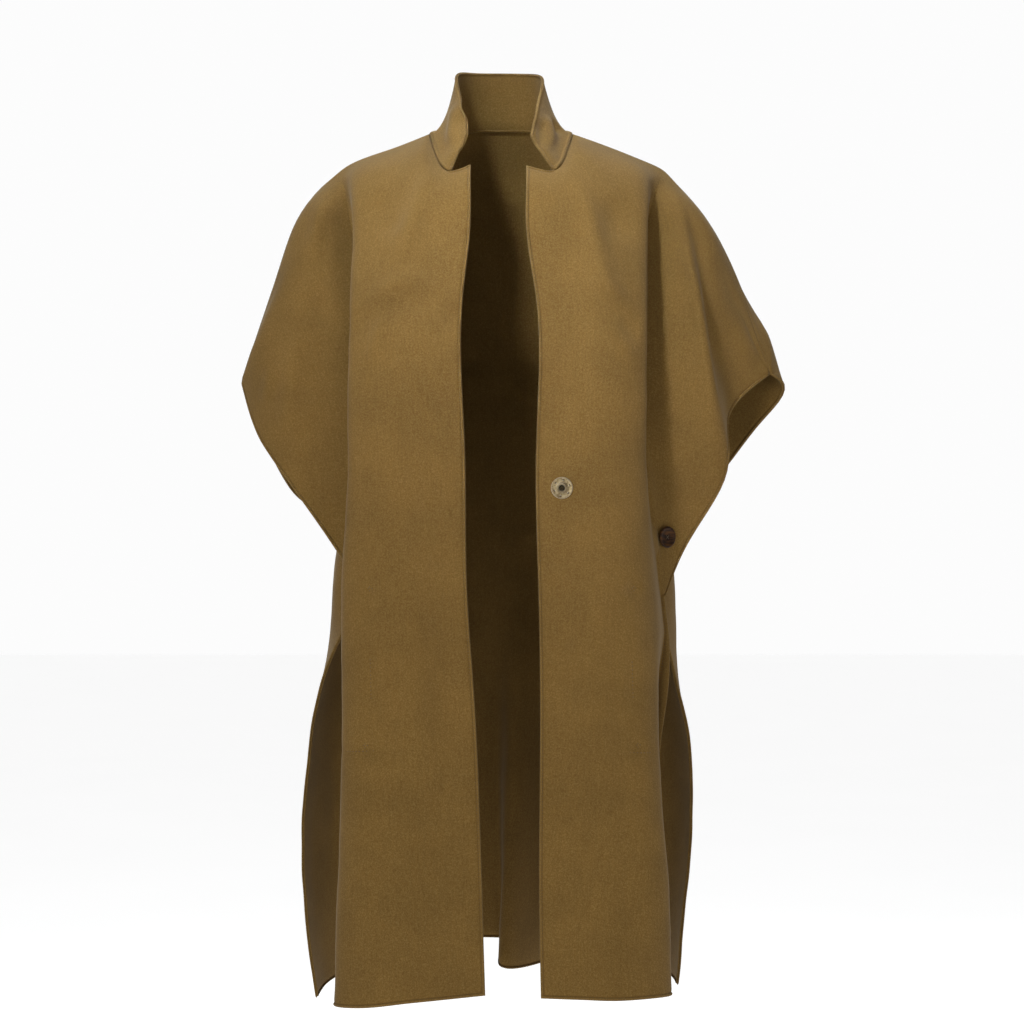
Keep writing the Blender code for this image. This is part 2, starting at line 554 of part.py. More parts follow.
def make_collar(fronts, back):
    """The stand collar, on the neckline of the fronts and the back."""
    grid = collar_grid(collar_root(fronts, back))
    normals = normals_of(grid, 1.0)
    foot = len(COLLAR_RISES) - 1
    for row, column in [place for place in grid if place[0] == foot]:
        point = grid[row, column]
        along = grid.get((row, column + 1), point) - grid.get((row, column - 1), point)
        normal = neckline_direction(point, along)
        normals[row, column] = normal / np.linalg.norm(normal)
    outer, inner = layers(grid, normals, 0.0, CLOTH)
    add_object("collar", wall_mesh("collar", outer, inner), OLIVE_WOOL)


def make_pocket_bag(side, grid, normals):
    """A bag of thin cloth against the inside of a front, made from the front's own points."""
    first = sum(FRONT_STRIPS[:4]) + POCKET_STRIPS_PAST_SLOPE
    last = sum(FRONT_STRIPS[:6]) - POCKET_STRIPS_FROM_SIDE
    top = sum(LEVEL_STRIPS[:LEVELS.index(UNDERARM) + 2])
    bottom = sum(LEVEL_STRIPS[:LEVELS.index(POCKET_END) + 2])
    part = {place: point for place, point in grid.items()
            if first <= place[1] <= last and top <= place[0] <= bottom}
    outer, inner = layers(part, normals, CLOTH + SEAM_GAP, CLOTH + SEAM_GAP + POCKETING)
    add_object(f"pocket_bag_{side}", wall_mesh(f"pocket_bag_{side}", outer, inner), POCKET_COTTON)


def face_tree(layer):
    """A search tree over a layer's quads."""
    index = {place: number for number, place in enumerate(layer)}
    quads = []
    for row, column in layer:
        ring = [(row, column), (row, column + 1), (row + 1, column + 1), (row + 1, column)]
        if all(place in index for place in ring):
            quads.append([index[place] for place in ring])
    return BVHTree.FromPolygons([Vector(point) for point in layer.values()], quads)


def seat_on(layer, start, heading):
    """Where a line from start meets the layer, and the layer's direction there, back towards the start."""
    place, normal, _, _ = face_tree(layer).ray_cast(Vector(start), Vector(heading))
    if normal.dot(Vector(heading)) > 0:
        normal = -normal
    return place, normal


def turned_mesh(name, profile):
    """A solid turned about Z from (radius, height) corners, which start and end on the axis."""
    mesh = bmesh.new()
    verts = [mesh.verts.new((radius, 0.0, height)) for radius, height in profile]
    edges = [mesh.edges.new(pair) for pair in zip(verts, verts[1:])]
    bmesh.ops.spin(mesh, geom=verts + edges, axis=(0, 0, 1), cent=(0, 0, 0), steps=ROUND_STEPS,
                   angle=2 * np.pi, use_merge=True)
    bmesh.ops.remove_doubles(mesh, verts=mesh.verts, dist=0.00001)
    bmesh.ops.recalc_face_normals(mesh, faces=mesh.faces)
    data = bpy.data.meshes.new(name)
    mesh.to_mesh(data)
    mesh.free()
    data.shade_smooth()
    data.set_sharp_from_angle(angle=np.radians(40))
    return data


def place_on(obj, seat):
    """The object's Z axis along the seat's direction, a seam gap off the cloth."""
    place, normal = seat
    turn = normal.to_track_quat("Z", "Y").to_matrix().to_4x4()
    obj.matrix_world = Matrix.Translation(place + normal * SEAM_GAP) @ turn


def make_snap_socket(fronts):
    """The snap's half with the raised ring, on the outside of the left front."""
    grid, _ = fronts["left"]
    socket = add_object("snap_socket", turned_mesh("snap_socket", SOCKET_PROFILE), SNAP_METAL)
    place_on(socket, seat_on(grid, SOCKET_AIM, (0, 1, 0)))


def make_snap_ball(fronts):
    """The snap's half with the ball, on the inside of the right front."""
    _, inner = layers(*fronts["right"], 0.0, CLOTH)
    ball = add_object("snap_ball", turned_mesh("snap_ball", BALL_PROFILE), SNAP_METAL)
    place_on(ball, seat_on(inner, BALL_AIM, (0, -1, 0)))


def make_side_button(side, grid):
    """A button on its shank under the arm, where the front laps over the back."""
    button = add_object(f"side_button_{side}", turned_mesh(f"side_button_{side}", BUTTON_PROFILE), DARK_HORN)
    place_on(button, seat_on(grid, *BUTTON_AIMS[side]))


def main():
    clear_scene()
    fronts = {side: make_front(side) for side in ("left", "right")}
    back = make_back()
    make_collar(fronts, back)
    for side, (grid, normals) in fronts.items():
        make_pocket_bag(side, grid, normals)
    make_snap_socket(fronts)
    make_snap_ball(fronts)
    for side, (grid, _) in fronts.items():
        make_side_button(side, grid)


main()
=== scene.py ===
"""High collar cape coat in double-faced wool: its cloth, hand-felled edges, snap, buttons and pockets.

Metres, +Z up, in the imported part's own frame. The wearer faces -Y, so the wearer's left is +X. Each cloth
panel repeats the named lines and levels that its solid was made from, and reads the same smooth curves at
many more places. On that form lie the creases, the felled edge and the seams, and a Solidify modifier
gives the cloth its thickness. Tables of places are written in millimetres, and metres() reads them.
"""

import logging
import math
from collections import namedtuple
from dataclasses import dataclass, field
from enum import Enum

import bmesh
import bpy
import numpy as np
from mathutils import Matrix, Vector, noise
from mathutils.bvhtree import BVHTree

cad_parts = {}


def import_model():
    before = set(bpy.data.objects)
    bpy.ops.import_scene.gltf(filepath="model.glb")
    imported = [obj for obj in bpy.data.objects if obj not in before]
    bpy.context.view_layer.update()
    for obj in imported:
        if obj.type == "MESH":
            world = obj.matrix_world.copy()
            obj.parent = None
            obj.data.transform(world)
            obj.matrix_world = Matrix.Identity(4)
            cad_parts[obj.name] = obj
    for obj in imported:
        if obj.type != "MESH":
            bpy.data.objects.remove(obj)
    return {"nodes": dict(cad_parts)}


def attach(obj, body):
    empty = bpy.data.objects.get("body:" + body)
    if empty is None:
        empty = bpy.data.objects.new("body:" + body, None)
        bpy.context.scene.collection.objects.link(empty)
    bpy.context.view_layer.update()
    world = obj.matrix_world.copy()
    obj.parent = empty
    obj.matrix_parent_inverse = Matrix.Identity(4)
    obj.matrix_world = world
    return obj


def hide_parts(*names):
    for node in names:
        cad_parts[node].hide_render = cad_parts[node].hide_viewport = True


LOG = logging.getLogger("coat")
BODY = "root"
MILLIMETRES = 1000       # in a metre
NOTHING = 1e-6           # lengths below this count as none
NOT_ZERO = 1e-12         # what keeps a division safe
FAR = 1.0                # the distance from an edge or a seam that a point has none of

Colour = Size = tuple[float, float, float]
Socket = bpy.types.NodeSocket
Rows = list[tuple[np.ndarray, np.ndarray]]


class Side(Enum):
    """The wearer's side that a piece is on."""

    LEFT = "left"
    RIGHT = "right"


class SnapHalf(Enum):
    """The two halves of the snap."""

    SOCKET = "snap_socket"
    BALL = "snap_ball"


def metres(table: float | tuple | list | dict) -> float | tuple | dict:
    """Reads sizes that are written in millimetres.

    Args:
        table: the number, or the numbers nested in any way.

    Returns:
        The same in metres, with tuples for lists.
    """
    if isinstance(table, dict):
        return {name: metres(part) for name, part in table.items()}
    if isinstance(table, (tuple, list)):
        return tuple(metres(part) for part in table)
    return table / MILLIMETRES


def placed(columns: str, left: tuple, right: tuple) -> dict[Side, list[dict[str, tuple]]]:
    """Rows of places in millimetres, read by the names of their columns.

    Args:
        columns: the names.
        left: the rows of the left side.
        right: the rows of the right side.

    Returns:
        For each side its rows in metres, each as its places by name.
    """
    return {side: [dict(zip(columns.split(), row)) for row in metres(rows)]
            for side, rows in ((Side.LEFT, left), (Side.RIGHT, right))}


# Thickness of the wool, the gap at a seam, and thickness of the pocket cotton
CLOTH, SEAM_GAP, POCKETING = metres((2.4, 0.3, 1.2))

# Heights of the levels where the panels are placed: chest, bust, waist, underarm, hip, the pockets' lower end
# and thigh
LEVELS = metres((-120, -200, -370, -525, -620, -700, -830))
CHEST, UNDERARM, POCKET_END = LEVELS[0], LEVELS[3], LEVELS[5]
HEM = -0.965

# How much of the way down a sleeve line, from the seam to the sleeve's hem, each of the first levels lies
SLEEVE_SHARES = (0.17, 0.34, 0.68)
SPLIT = len(SLEEVE_SHARES) + 2       # the row of places where the sleeve ends and the side slit begins

# Halfway from the seam to the chest the cloth has turned over the shoulder this far sideways, out and down
SHOULDER_SHARES = (0.5, 0.66, 0.33)

# Where the two lines under the collar run, as shares of the way from the front edge to the neck line
COLLAR_SHARES = {"notch": 0.46, "throat": 0.76}

# The lines of a front, of half a back and of their seam, from the middle of the coat outwards
FRONT_LINES = "edge notch throat neck slope crest side under ridge hollow tip".split()
BACK_LINES = "spine nape yoke neck slope crest flank side under ridge hollow cap tip".split()
SEAM_LINES = BACK_LINES[3:]

# Where each line of the seam meets the top of a front and of a back, counted in that panel's own lines
SEAM_ON_FRONT = (3.0, 4.0, 5.0, 5.6, 6.0, 7.0, 8.0, 9.0, 9.5, 10.0)
SEAM_ON_BACK = tuple(range(3, 13))

# Strips of the fine grid between each line and the next, and between each level and the next
FRONT_STRIPS = (6, 5, 4, 9, 9, 14, 8, 8, 9, 12)
BACK_STRIPS = (18, 12, 7, 8, 7, 9, 8, 7, 7, 8, 6, 5)
LEVEL_STRIPS = (8, 11, 16, 30, 28, 18, 15, 24, 24)

# The distances from a raw edge at which the fine grid has a line, and how far the cloth stands out there:
# the edge is turned in and felled by hand, so a flat band lies round it with a groove along the stitches.
# The seams, the cloth under the collar and the collar's foot have a profile of their own.
EDGE_REACHES = metres((0.3, 0.7, 1.4, 2.1, 2.7, 3.2, 3.7, 4.6, 6.2))
FELLED = (0.0, *EDGE_REACHES), metres((-0.9, -0.3, 0.2, 0.6, 0.65, 0.25, -0.65, -0.6, -0.25, 0))
GROOVE_LINE = 6                     # the grid line that runs in the groove
MOST_OF_STRETCH = 0.45              # the share of a stretch that the edge's lines fill where it is too short
LEAST_SINE, SLANT_COLUMNS = 0.4, 6  # the sharpest slant they follow, and the columns that they take to it
SEAM_AT = metres((0, 0.9, 1.8, 3.7, 6, 8))
PLAIN_SEAM = SEAM_AT, metres((-0.7, -0.3, -0.02, 0.22, 0.08, 0))
UNDER_COLLAR = SEAM_AT, metres((-1.1, -0.75, -0.45, -0.18, -0.04, 0))
COLLAR_FOOT = metres(((0, 0.9, 1.8, 2.8, 3.7, 4.9, 6, 8), (-0.9, 0.6, 1.35, 1.5, 0.95, -0.75, -0.45, 0)))

# A place is (x, y, z), or (x, y) where it lies on its row's level.
# The neckline, from the top corner of a front edge to the middle of the back, and then the overarm seam,
# from the slope of the shoulder to the tip of the cape sleeve
TOP = placed("edge notch throat neck yoke nape spine slope crest flank side under ridge hollow cap tip", (
    ((28.4, -86, -49), (57.8, -84.5, -54.5), (73, -56, -34.5), (82.6, -4, -1.5), (74, 34, 6), (44, 62, 10.5),
     (0, 71, 12), (125, -6, -17), (164, -6, -32.5), (176, -6.2, -37.5), (186.5, -6.5, -43.5),
     (198.5, -7, -55.5), (212, -7.2, -70.5), (260, -10.5, -142.5), (286, -10.5, -212), (309, -10, -277.5)),
), (
    ((-33.4, -86, -48), (-55.2, -84.5, -55), (-72.5, -56, -34.5), (-82.6, -4, -1.5), (-74, 34, 6),
     (-44, 62, 10.5), (0, 71, 12), (-125, -6, -18.5), (-169, -6, -34.5), (-177.5, -6, -39),
     (-185, -6, -44.5), (-195, -6, -53), (-206, -6, -63), (-249, -6, -143), (-274.5, -6, -216),
     (-298.5, -6, -287)),
))

# The places of each front where a line of the panel meets a level, with the hem row last
FRONT_PLACES = placed("edge neck slope crest side under ridge hollow", (
    ((28.1, -118), (98, -110), (136, -98), (164, -80), (173, -50), (193, -49), (217, -50), (256, -30)),
    ((39, -125), (102, -124), (138, -116), (162.2, -100), (168, -64), (192, -60), (222.5, -62), (256, -36)),
    ((38.8, -128), (103, -132), (137, -126), (160, -108), (168, -66), (196, -56), (237.5, -66), (256, -34)),
    ((41.5, -130), (105, -137), (140, -131), (163, -112), (186.2, -45, -532)),
    ((42.9, -134), (108, -142), (144, -136), (168.8, -115), (190.5, -48)),
    ((43.1, -138), (111, -146), (148, -140), (172, -117), (180, -52)),
    ((42, -146), (115, -153), (154, -146), (182.5, -121), (174, -64)),
    ((43.8, -155, -964), (117, -164, -965), (158, -154, -965), (188.5, -124, -967), (168, -72, -970),
     (216.5, -32, -465), (257.8, -55, -378), (260, -29, -329)),
), (
    ((-33.3, -118), (-99, -110), (-136, -98), (-164.5, -82), (-174, -52), (-190, -52), (-211, -50),
     (-255, -30)),
    ((-41.5, -125), (-104, -125), (-140, -117), (-166.8, -101), (-160, -66), (-193, -62), (-223, -58),
     (-264, -38)),
    ((-38.9, -128), (-105, -133), (-142, -127), (-168.8, -108), (-138, -69), (-199, -56), (-240, -58),
     (-275, -38)),
    ((-36.5, -130), (-105, -138), (-144, -132), (-172.8, -112), (-152, -46, -532)),
    ((-29.8, -134), (-104, -143), (-145, -137), (-173.2, -116), (-165, -58)),
    ((-25.2, -138), (-103, -147), (-145, -142), (-173.5, -119), (-164, -58)),
    ((-20.4, -146), (-102, -155), (-147, -150), (-176.5, -126), (-164, -66)),
    ((-16.2, -155, -961), (-101, -166, -967.5), (-149, -158, -974), (-181.5, -134, -977), (-162, -76, -978),
     (-206, -48, -450), (-248, -41, -393), (-279, -26, -345)),
))

# The same for each half of the back
BACK_PLACES = placed("spine nape yoke neck slope crest flank side under ridge hollow cap", (
    ((0, 104), (44, 106), (75, 108), (98, 107), (132, 98), (162, 78), (176, 52), (184, 36), (197, 38),
     (215, 46), (262, 30), (305, 5)),
    ((0, 112), (45, 116), (78, 119), (103, 118), (137, 110), (165, 92), (176, 64), (184, 44), (200, 48),
     (225, 58), (270, 42), (312, 12)),
    ((0, 118), (46, 124), (80, 128), (106, 128), (140, 120), (169, 100), (184, 56), (186, 10), (208, 26),
     (243, 53), (286, 46), (320, 14)),
    ((0, 128), (48, 136), (83, 141), (110, 140), (145, 130), (176, 100), (198, -6, -505), (170, -49, -449)),
    ((0, 134), (49, 143), (86, 150), (114, 148), (150, 137), (181, 111), (205, 52), (199, -10)),
    ((0, 140), (50, 150), (88, 158), (118, 156), (154, 143), (186, 115), (210, 64), (216.5, 12)),
    ((0, 152), (52, 163), (91, 171), (122, 169), (159, 154), (191, 125), (212, 78), (218.5, 28)),
    ((0, 187, -957), (53, 183, -980), (93, 185, -977), (124, 182, -976), (160, 166, -979), (188, 135, -983),
     (203, 85, -985), (205.5, 30, -985), (205, -27, -427), (262, 40, -384), (303, 34, -331),
     (327.2, 6, -290)),
), (
    ((0, 104), (-44, 106), (-75, 108), (-98, 107), (-132, 98), (-162, 78), (-174, 52), (-182, 36),
     (-193, 38), (-210, 46), (-256, 30), (-278.5, 8)),
    ((0, 112), (-45, 116), (-78, 119), (-103, 118), (-137, 110), (-165, 92), (-175, 64), (-183, 44),
     (-197, 46), (-221, 52), (-264, 36), (-282.5, 14)),
    ((0, 118), (-46, 124), (-80, 128), (-106, 128), (-140, 120), (-168, 100), (-183, 56), (-185, 10),
     (-206, 22), (-236, 44), (-274, 34), (-288, 16)),
    ((0, 128), (-48, 136), (-83, 141), (-110, 140), (-145, 130), (-175, 98), (-189, -6, -505),
     (-140, -48, -450)),
    ((0, 134), (-49, 143), (-86, 150), (-114, 148), (-151, 137), (-182, 109), (-206, 52), (-203, -8)),
    ((0, 140), (-50, 150), (-88, 158), (-118, 156), (-155, 143), (-188, 115), (-214, 64), (-221.5, 14)),
    ((0, 152), (-52, 163), (-91, 171), (-123, 169), (-162, 154), (-198, 125), (-224, 78), (-232, 28)),
    ((0, 187, -957), (-53, 185, -959), (-93, 185, -970), (-125, 182, -976), (-164, 166, -984),
     (-195, 137, -993), (-213, 90, -1000), (-216.5, 45, -1003), (-203, -16, -435), (-245.3, 30, -408),
     (-277, 22, -350), (-290, 10, -315)),
))

# The back's hanging folds: where each runs at the chest and at the hem, how wide each of its halves is at
# the hem, how far it stands out there (or in, where negative), the height where it has died out, and how
# far it leans over to the left for each metre that it stands out
Fold = namedtuple("Fold", "chest_x hem_x right_half left_half depth top lean")
BACK_FOLDS = [Fold(*metres(sizes), lean) for *sizes, lean in (
    (-146, -158, 36, 34, 16, -160, 0.0), (-108, -112, 34, 34, -20, -200, 0.0),
    (-62, -60, 40, 36, 18, -340, 0.0), (14, 36, 37, 44, -95, -500, 0.35), (64, 82, 36, 34, 17, -360, 0.0),
    (112, 124, 34, 36, -22, -180, 0.0), (150, 162, 34, 34, 14, -220, 0.0))]
FOLD_GROWTH = 1.2        # the folds open a little faster than evenly, from their tops down

# The collar's top edge, from the right front corner round the back of the neck to the left front corner.
# The collar stands on the neckline and leans in quickly at its root, but not at its front edges.
COLLAR_TOP = metres((
    (-39, -66, -10), (-41.6, -54, 7.4), (-45.2, -38, 24.4), (-49.1, -12, 47.1), (-51, 22, 72.5),
    (-33, 50, 78), (0, 59, 79), (32, 50, 77), (48, 22, 69), (44.6, -16, 40.1), (39.7, -46, 12.6),
    (33.9, -66, -12.5)))
COLLAR_STRIPS_ROUND, COLLAR_STRIPS_UP = 110, 16
COLLAR_LEAN, COLLAR_FRONT_REACH = 0.5, 0.03
COLLAR_CREASED = -0.01              # only the part of the collar in front of this has creases

# A pocket bag lies inside its front from this share of the way past the slope line to this share of the way
# to the side line
POCKET_FROM, POCKET_TO = 1 / 3, 4 / 5

# Where the pocket bags are caught to the fronts from inside: short runs of stitches that dimple the cloth,
# as (x, z) from one end to the other
POCKET_TACKS = metres({
    "front_right": (
        ((-147, -519), (-140, -519.4)), ((-143.5, -515.5), (-143.7, -523)), ((-142.5, -595), (-141.4, -643)),
        ((-169, -698.5), (-135.9, -696.3)), ((-151.5, -691), (-144.5, -690.6)),
        ((-148, -687), (-148.2, -694.5))),
    "front_left": (
        ((143, -519), (150, -519.4)), ((146.4, -515.5), (146.6, -523)), ((144, -598), (145.2, -640)),
        ((140, -698.5), (166, -700)), ((147, -691), (154, -690.6)), ((150.4, -687), (150.6, -694.5))),
})
TACK_WIDTH, TACK_DEPTH = metres((4.2, -1.6))

# Behind each crest the cloth is drawn this far towards the middle and this far back, times the shares for how
# far down it lies: beside the side buttons it keeps clear of the back's cloth under it
TUCKS = metres({Side.LEFT: (-15, 15), Side.RIGHT: (8, 19)})
TUCK_AT = (0.055, 0.12, 0.22, 0.34, 0.40, 0.57, 0.63, 0.74, 0.90)
TUCK_IN = (0.0, 0.65, 1.0, 0.9, 0.35, 0.35, 1.0, 0.7, 0.0)
TUCK_BACK = (0.0, 0.65, 1.0, 0.9, 0.0, 0.0, 0.6, 0.7, 0.0)

# The tuck opens over the first of these shares of the way from the crest to the side line. Low down it closes
# over the second, and higher up from this many columns before the side line to the underarm's line. It goes
# from one to the other at the first of the two distances below the neck, over the second.
TUCK_OPENS, TUCK_CLOSES, TUCK_BEFORE = 0.6, 0.4, 3
TUCK_BUTTONED, TUCK_FADE = 0.43, 0.07

# The middles of the snap's halves and the side buttons, in the order in which they are read
FASTENINGS: list[np.ndarray] = []

# How near a fastening the creases and the tuck have died out, and over how much further they come back
CREASES_CLEAR, TUCK_CLEAR = metres(((12, 14), (13, 12)))

# How far from a seam, and from the collar's foot, the creases have their full height
CALM_BY_SEAM, CALM_BY_FOOT = metres((30, 12))

# A crease dies out over this share of it at each end
CREASE_FADE = 0.35

# The cloth's own slight unevenness: how many waves in about a metre, how high they are, and where they start
WAVES = (11.0, 0.0016, (0.0, 0.0, 0.0)), (31.0, 0.0006, (5.0, 2.0, 9.0))
COLLAR_WAVES = 0.5                   # the collar's are this share of them

# How many steps a crease and the collar's top edge have from place to place, and a rib of the collar in all
CREASE_STEPS, TOP_STEPS, RIB_STEPS = 10, 12, 80

# A felling stitch and a tack: its length, width and pitch, and how far it lies off the cloth
FELLING_STITCH, TACK_STITCH = metres(((2.8, 0.8, 3.1, 0), (2.4, 0.8, 4.2, -0.1)))
FELLING_TURN, TACK_TURN = 62.0, 0.0  # how far each is turned from its row, in degrees
TACK_POINTS = 12                     # how many points are laid along a tack's line


def smooth_step(share: np.ndarray) -> np.ndarray:
    """0 up to 0, 1 from 1, and a smooth rise between."""
    share = np.clip(share, 0.0, 1.0)
    return share * share * (3.0 - 2.0 * share)


def clear_of_fastenings(points: np.ndarray, flat: float, fade: float) -> np.ndarray:
    """How free each point is of the fastenings' seats.

    Args:
        points: the points.
        flat: how near a fastening a point isn't free.
        fade: how much further off it is all free.

    Returns:
        A share for each point.
    """
    share = np.ones(points.shape[:-1])
    for centre in FASTENINGS:
        share = share * smooth_step((np.linalg.norm(points - centre, axis=-1) - flat) / fade)
    return share


def stretches(places: np.ndarray) -> np.ndarray:
    """How far it is from each place to the next."""
    return np.linalg.norm(np.diff(np.asarray(places, float), axis=0), axis=1)


def read_along(line: np.ndarray, at: np.ndarray, values: np.ndarray | None = None) -> np.ndarray:
    """The values on a line at some distances along it.

    Args:
        line: the line's points.
        at: the distances.
        values: what is read there, a row for each point. By default that is the line's own places.

    Returns:
        A row of values for each distance.
    """
    along = np.concatenate([[0.0], np.cumsum(stretches(line))])
    values = line if values is None else values
    return np.stack([np.interp(at, along, column) for column in values.T], axis=-1)


def spline_points(places: np.ndarray, stations: np.ndarray) -> np.ndarray:
    """Points of the natural cubic curve through some places.

    Args:
        places: the places in order, one in each row.
        stations: where to read the curve, counted in places from the first.

    Returns:
        One point for each station.
    """
    places = np.asarray(places, float)
    gaps = np.maximum(stretches(places), NOTHING)
    count = len(places)
    system = np.eye(count)
    bends = np.zeros((count, 3))
    for i in range(1, count - 1):
        system[i, i - 1:i + 2] = gaps[i - 1], 2 * (gaps[i - 1] + gaps[i]), gaps[i]
        bends[i] = 6 * ((places[i + 1] - places[i]) / gaps[i] - (places[i] - places[i - 1]) / gaps[i - 1])
    bends = np.linalg.solve(system, bends)
    i = np.clip(np.floor(stations).astype(int), 0, count - 2)
    after = (stations - i)[:, None]
    before = 1.0 - after
    bend = (before**3 - before) * bends[i] + (after**3 - after) * bends[i + 1]
    return before * places[i] + after * places[i + 1] + gaps[i][:, None]**2 / 6 * bend


def arc_lengths(points: np.ndarray, axis: int) -> np.ndarray:
    """The length of cloth from the first row or column to each point of a grid.

    Args:
        points: the grid's points.
        axis: 0 down the columns, 1 along the rows.

    Returns:
        A length for each point.
    """
    steps = np.nan_to_num(np.linalg.norm(np.diff(points, axis=axis), axis=2))
    pad = [(0, 0), (0, 0)]
    pad[axis] = (1, 0)
    return np.pad(np.cumsum(steps, axis=axis), pad)


def from_run(points: np.ndarray, run: np.ndarray) -> tuple[np.ndarray, np.ndarray, np.ndarray]:
    """How far each point lies from a run of straight stretches, seen from in front.

    Args:
        points: the points.
        run: the (x, z) places that it goes through.

    Returns:
        The distance from the run, the distance along it, and its length.
    """
    steps = np.diff(run, axis=0)
    lengths = np.linalg.norm(steps, axis=1)
    apart = points[:, None, (0, 2)] - run[:-1]
    shares = np.clip((apart * steps).sum(2) / lengths**2, 0.0, 1.0)
    distances = np.linalg.norm(apart - shares[..., None] * steps, axis=2)
    nearest = distances.argmin(axis=1)
    pick = np.arange(len(points)), nearest
    along = (np.cumsum(lengths) - lengths)[nearest] + shares[pick] * lengths[nearest]
    return distances[pick], along, lengths.sum()


@dataclass(frozen=True)
class Crease:
    """A soft ridge in a panel's cloth, or a trough where it sinks, placed one by one.

    Args:
        path: (x, z) places that it runs through.
        width: how far from its line it has fallen to about half.
        rise: how far it stands out at its middle, negative for a trough.
    """

    path: tuple[tuple[float, float], ...]
    width: float
    rise: float

    def lift(self, points: np.ndarray) -> np.ndarray:
        """How far the crease lifts each point, by how far it is from its line.

        Args:
            points: the points.

        Returns:
            A length for each point.
        """
        places = np.array([(x, 0.0, z) for x, z in self.path])
        stations = np.linspace(0.0, len(places) - 1, CREASE_STEPS * len(places))
        line = spline_points(places, stations)[:, (0, 2)]
        distances, along, length = from_run(points, line)
        along = along / length
        fade = smooth_step(np.minimum(along, 1.0 - along) / CREASE_FADE)
        return self.rise * fade * np.exp(-0.5 * (distances / self.width)**2)


# The main creases: how wide each is, how far out, and its (x, z) places, as the wearer's front shows them.
# The back's are seen through it from in front.
CREASES = {name: [Crease(tuple(path), width, rise) for width, rise, *path in metres(rows)]
           for name, rows in {
    "front_right": (
        (9, 6.5, (-76, -45), (-84, -78), (-97, -114), (-114, -164)),
        (12, -5.7, (-133, -70), (-126, -101), (-121, -135)),
        (7, 4.3, (-150, -210), (-114, -184), (-60, -187)),
        (8, -3.9, (-142, -229), (-110, -207), (-62, -205)),
        (5, 3.9, (-122, -205), (-135, -243), (-150, -281)),
        (8, -3.9, (-151, -205), (-153, -250)),
        (8, -4.7, (-36, -212), (-68, -224)),
        (9, -4.7, (-38, -312), (-78, -326)),
        (12, 3.9, (-48, -394), (-86, -409)),
        (8, -3.9, (-52, -424), (-90, -424)),
        (5, -3.5, (-36, -487), (-84, -491)),
        (14, 5.1, (-96, -455), (-93, -590), (-96, -735)),
        (16, -4.3, (-62, -520), (-58, -680), (-66, -860)),
        (13, -4.3, (-128, -600), (-124, -760), (-130, -930)),
        (6, 2.6, (-150, -705), (-120, -722)),
        (4, -1.9, (-24, -742), (-60, -748)),
        (7, 5.7, (-198, -75), (-203, -105), (-211, -150)),
        (10, 3.5, (-188, -60), (-203, -110), (-224, -170)),
        (9, -5.1, (-209, -175), (-199, -232)),
        (5, 3, (-258, -268), (-270, -318)),
        (10, 3.9, (-224, -215), (-236, -290), (-243, -360)),
    ),
    "front_left": (
        (8, 4.8, (83, -45), (93, -89), (106, -139), (122, -189), (145, -219)),
        (12, -5.7, (121, -78), (129, -106), (135, -142)),
        (6, 3.9, (91, -176), (118, -192), (146, -208)),
        (7, -3.9, (128, -228), (156, -234)),
        (5, 3.2, (126, -236), (148, -268)),
        (12, 4.3, (36, -252), (66, -270)),
        (9, -5.1, (72, -282), (64, -318), (54, -350)),
        (3, -2.2, (36, -424), (54, -440)),
        (7, -3.9, (40, -489), (84, -486)),
        (7, 3, (42, -505), (82, -503)),
        (9, -3.2, (52, -570), (82, -583)),
        (3.5, -2.2, (40, -737), (88, -740)),
        (3.5, -2.2, (42, -752), (76, -753)),
        (3.5, -1.9, (40, -765), (92, -768)),
        (4, 2.6, (66, -871), (108, -884)),
        (4, -2.2, (42, -915), (60, -920)),
        (14, 4.7, (104, -470), (100, -600), (106, -740)),
        (13, -4.7, (132, -600), (136, -760), (142, -930)),
        (15, -3.5, (70, -620), (74, -780), (80, -940)),
        (4.8, 8.9, (196, -56), (203, -92), (218, -178), (228.5, -245), (237, -310), (250, -372)),
        (8.5, -9.2, (208, -70), (216, -100), (232, -178), (242.5, -245), (252, -318)),
        (8, 4.1, (262, -190), (276, -240), (286, -292)),
        (5, -3.5, (188, -440), (201, -470)),
    ),
    "back": (
        (10, 6.5, (-60, -30), (-86, -85), (-104, -170)),
        (10, 6.1, (62, -28), (90, -90), (112, -182)),
        (12, -5.1, (-124, -72), (-130, -118), (-124, -165)),
        (12, -5.1, (122, -68), (132, -112), (130, -160)),
        (8, -3.9, (-40, -52), (-4, -66), (36, -50)),
        (9, 4.3, (-90, -238), (-50, -256), (-6, -250)),
        (10, -4.7, (14, -284), (60, -296), (104, -272)),
        (9, -3.9, (-134, -300), (-96, -330), (-52, -336)),
        (9, 3.9, (46, -385), (92, -368), (136, -376)),
        (7, 3.5, (-150, -420), (-108, -440)),
        (7, -3, (18, -455), (62, -470)),
        (8, 5.1, (-203, -90), (-212, -140), (-226, -210)),
        (8, 5.1, (205, -85), (216, -140), (232, -220)),
        (10, -3.9, (-236, -180), (-250, -260), (-256, -340)),
        (10, -3.9, (250, -180), (272, -250), (286, -310)),
        (9, 3.9, (-208, -270), (-214, -340), (-212, -410)),
        (9, 3.9, (215, -260), (226, -330), (238, -395)),
        (10, 4.7, (-206, -640), (-198, -760), (-204, -900)),
        (10, 4.3, (202, -620), (206, -760), (200, -900)),
        (5, 2.6, (-90, -905), (-50, -915)),
    ),
    "collar": (
        (4.5, 6.6, (-50, 36), (-53.5, 4), (-56.2, -30)),
        (5, -4.8, (-44, 24), (-47, -6), (-49, -34)),
        (4.5, 6, (53.5, 20), (55, -6), (56, -30)),
        (5, -4.2, (46, 12), (47, -10), (48, -32)),
        (4, -4.2, (61, 18), (64.5, -7)),
    ),
}.items()}


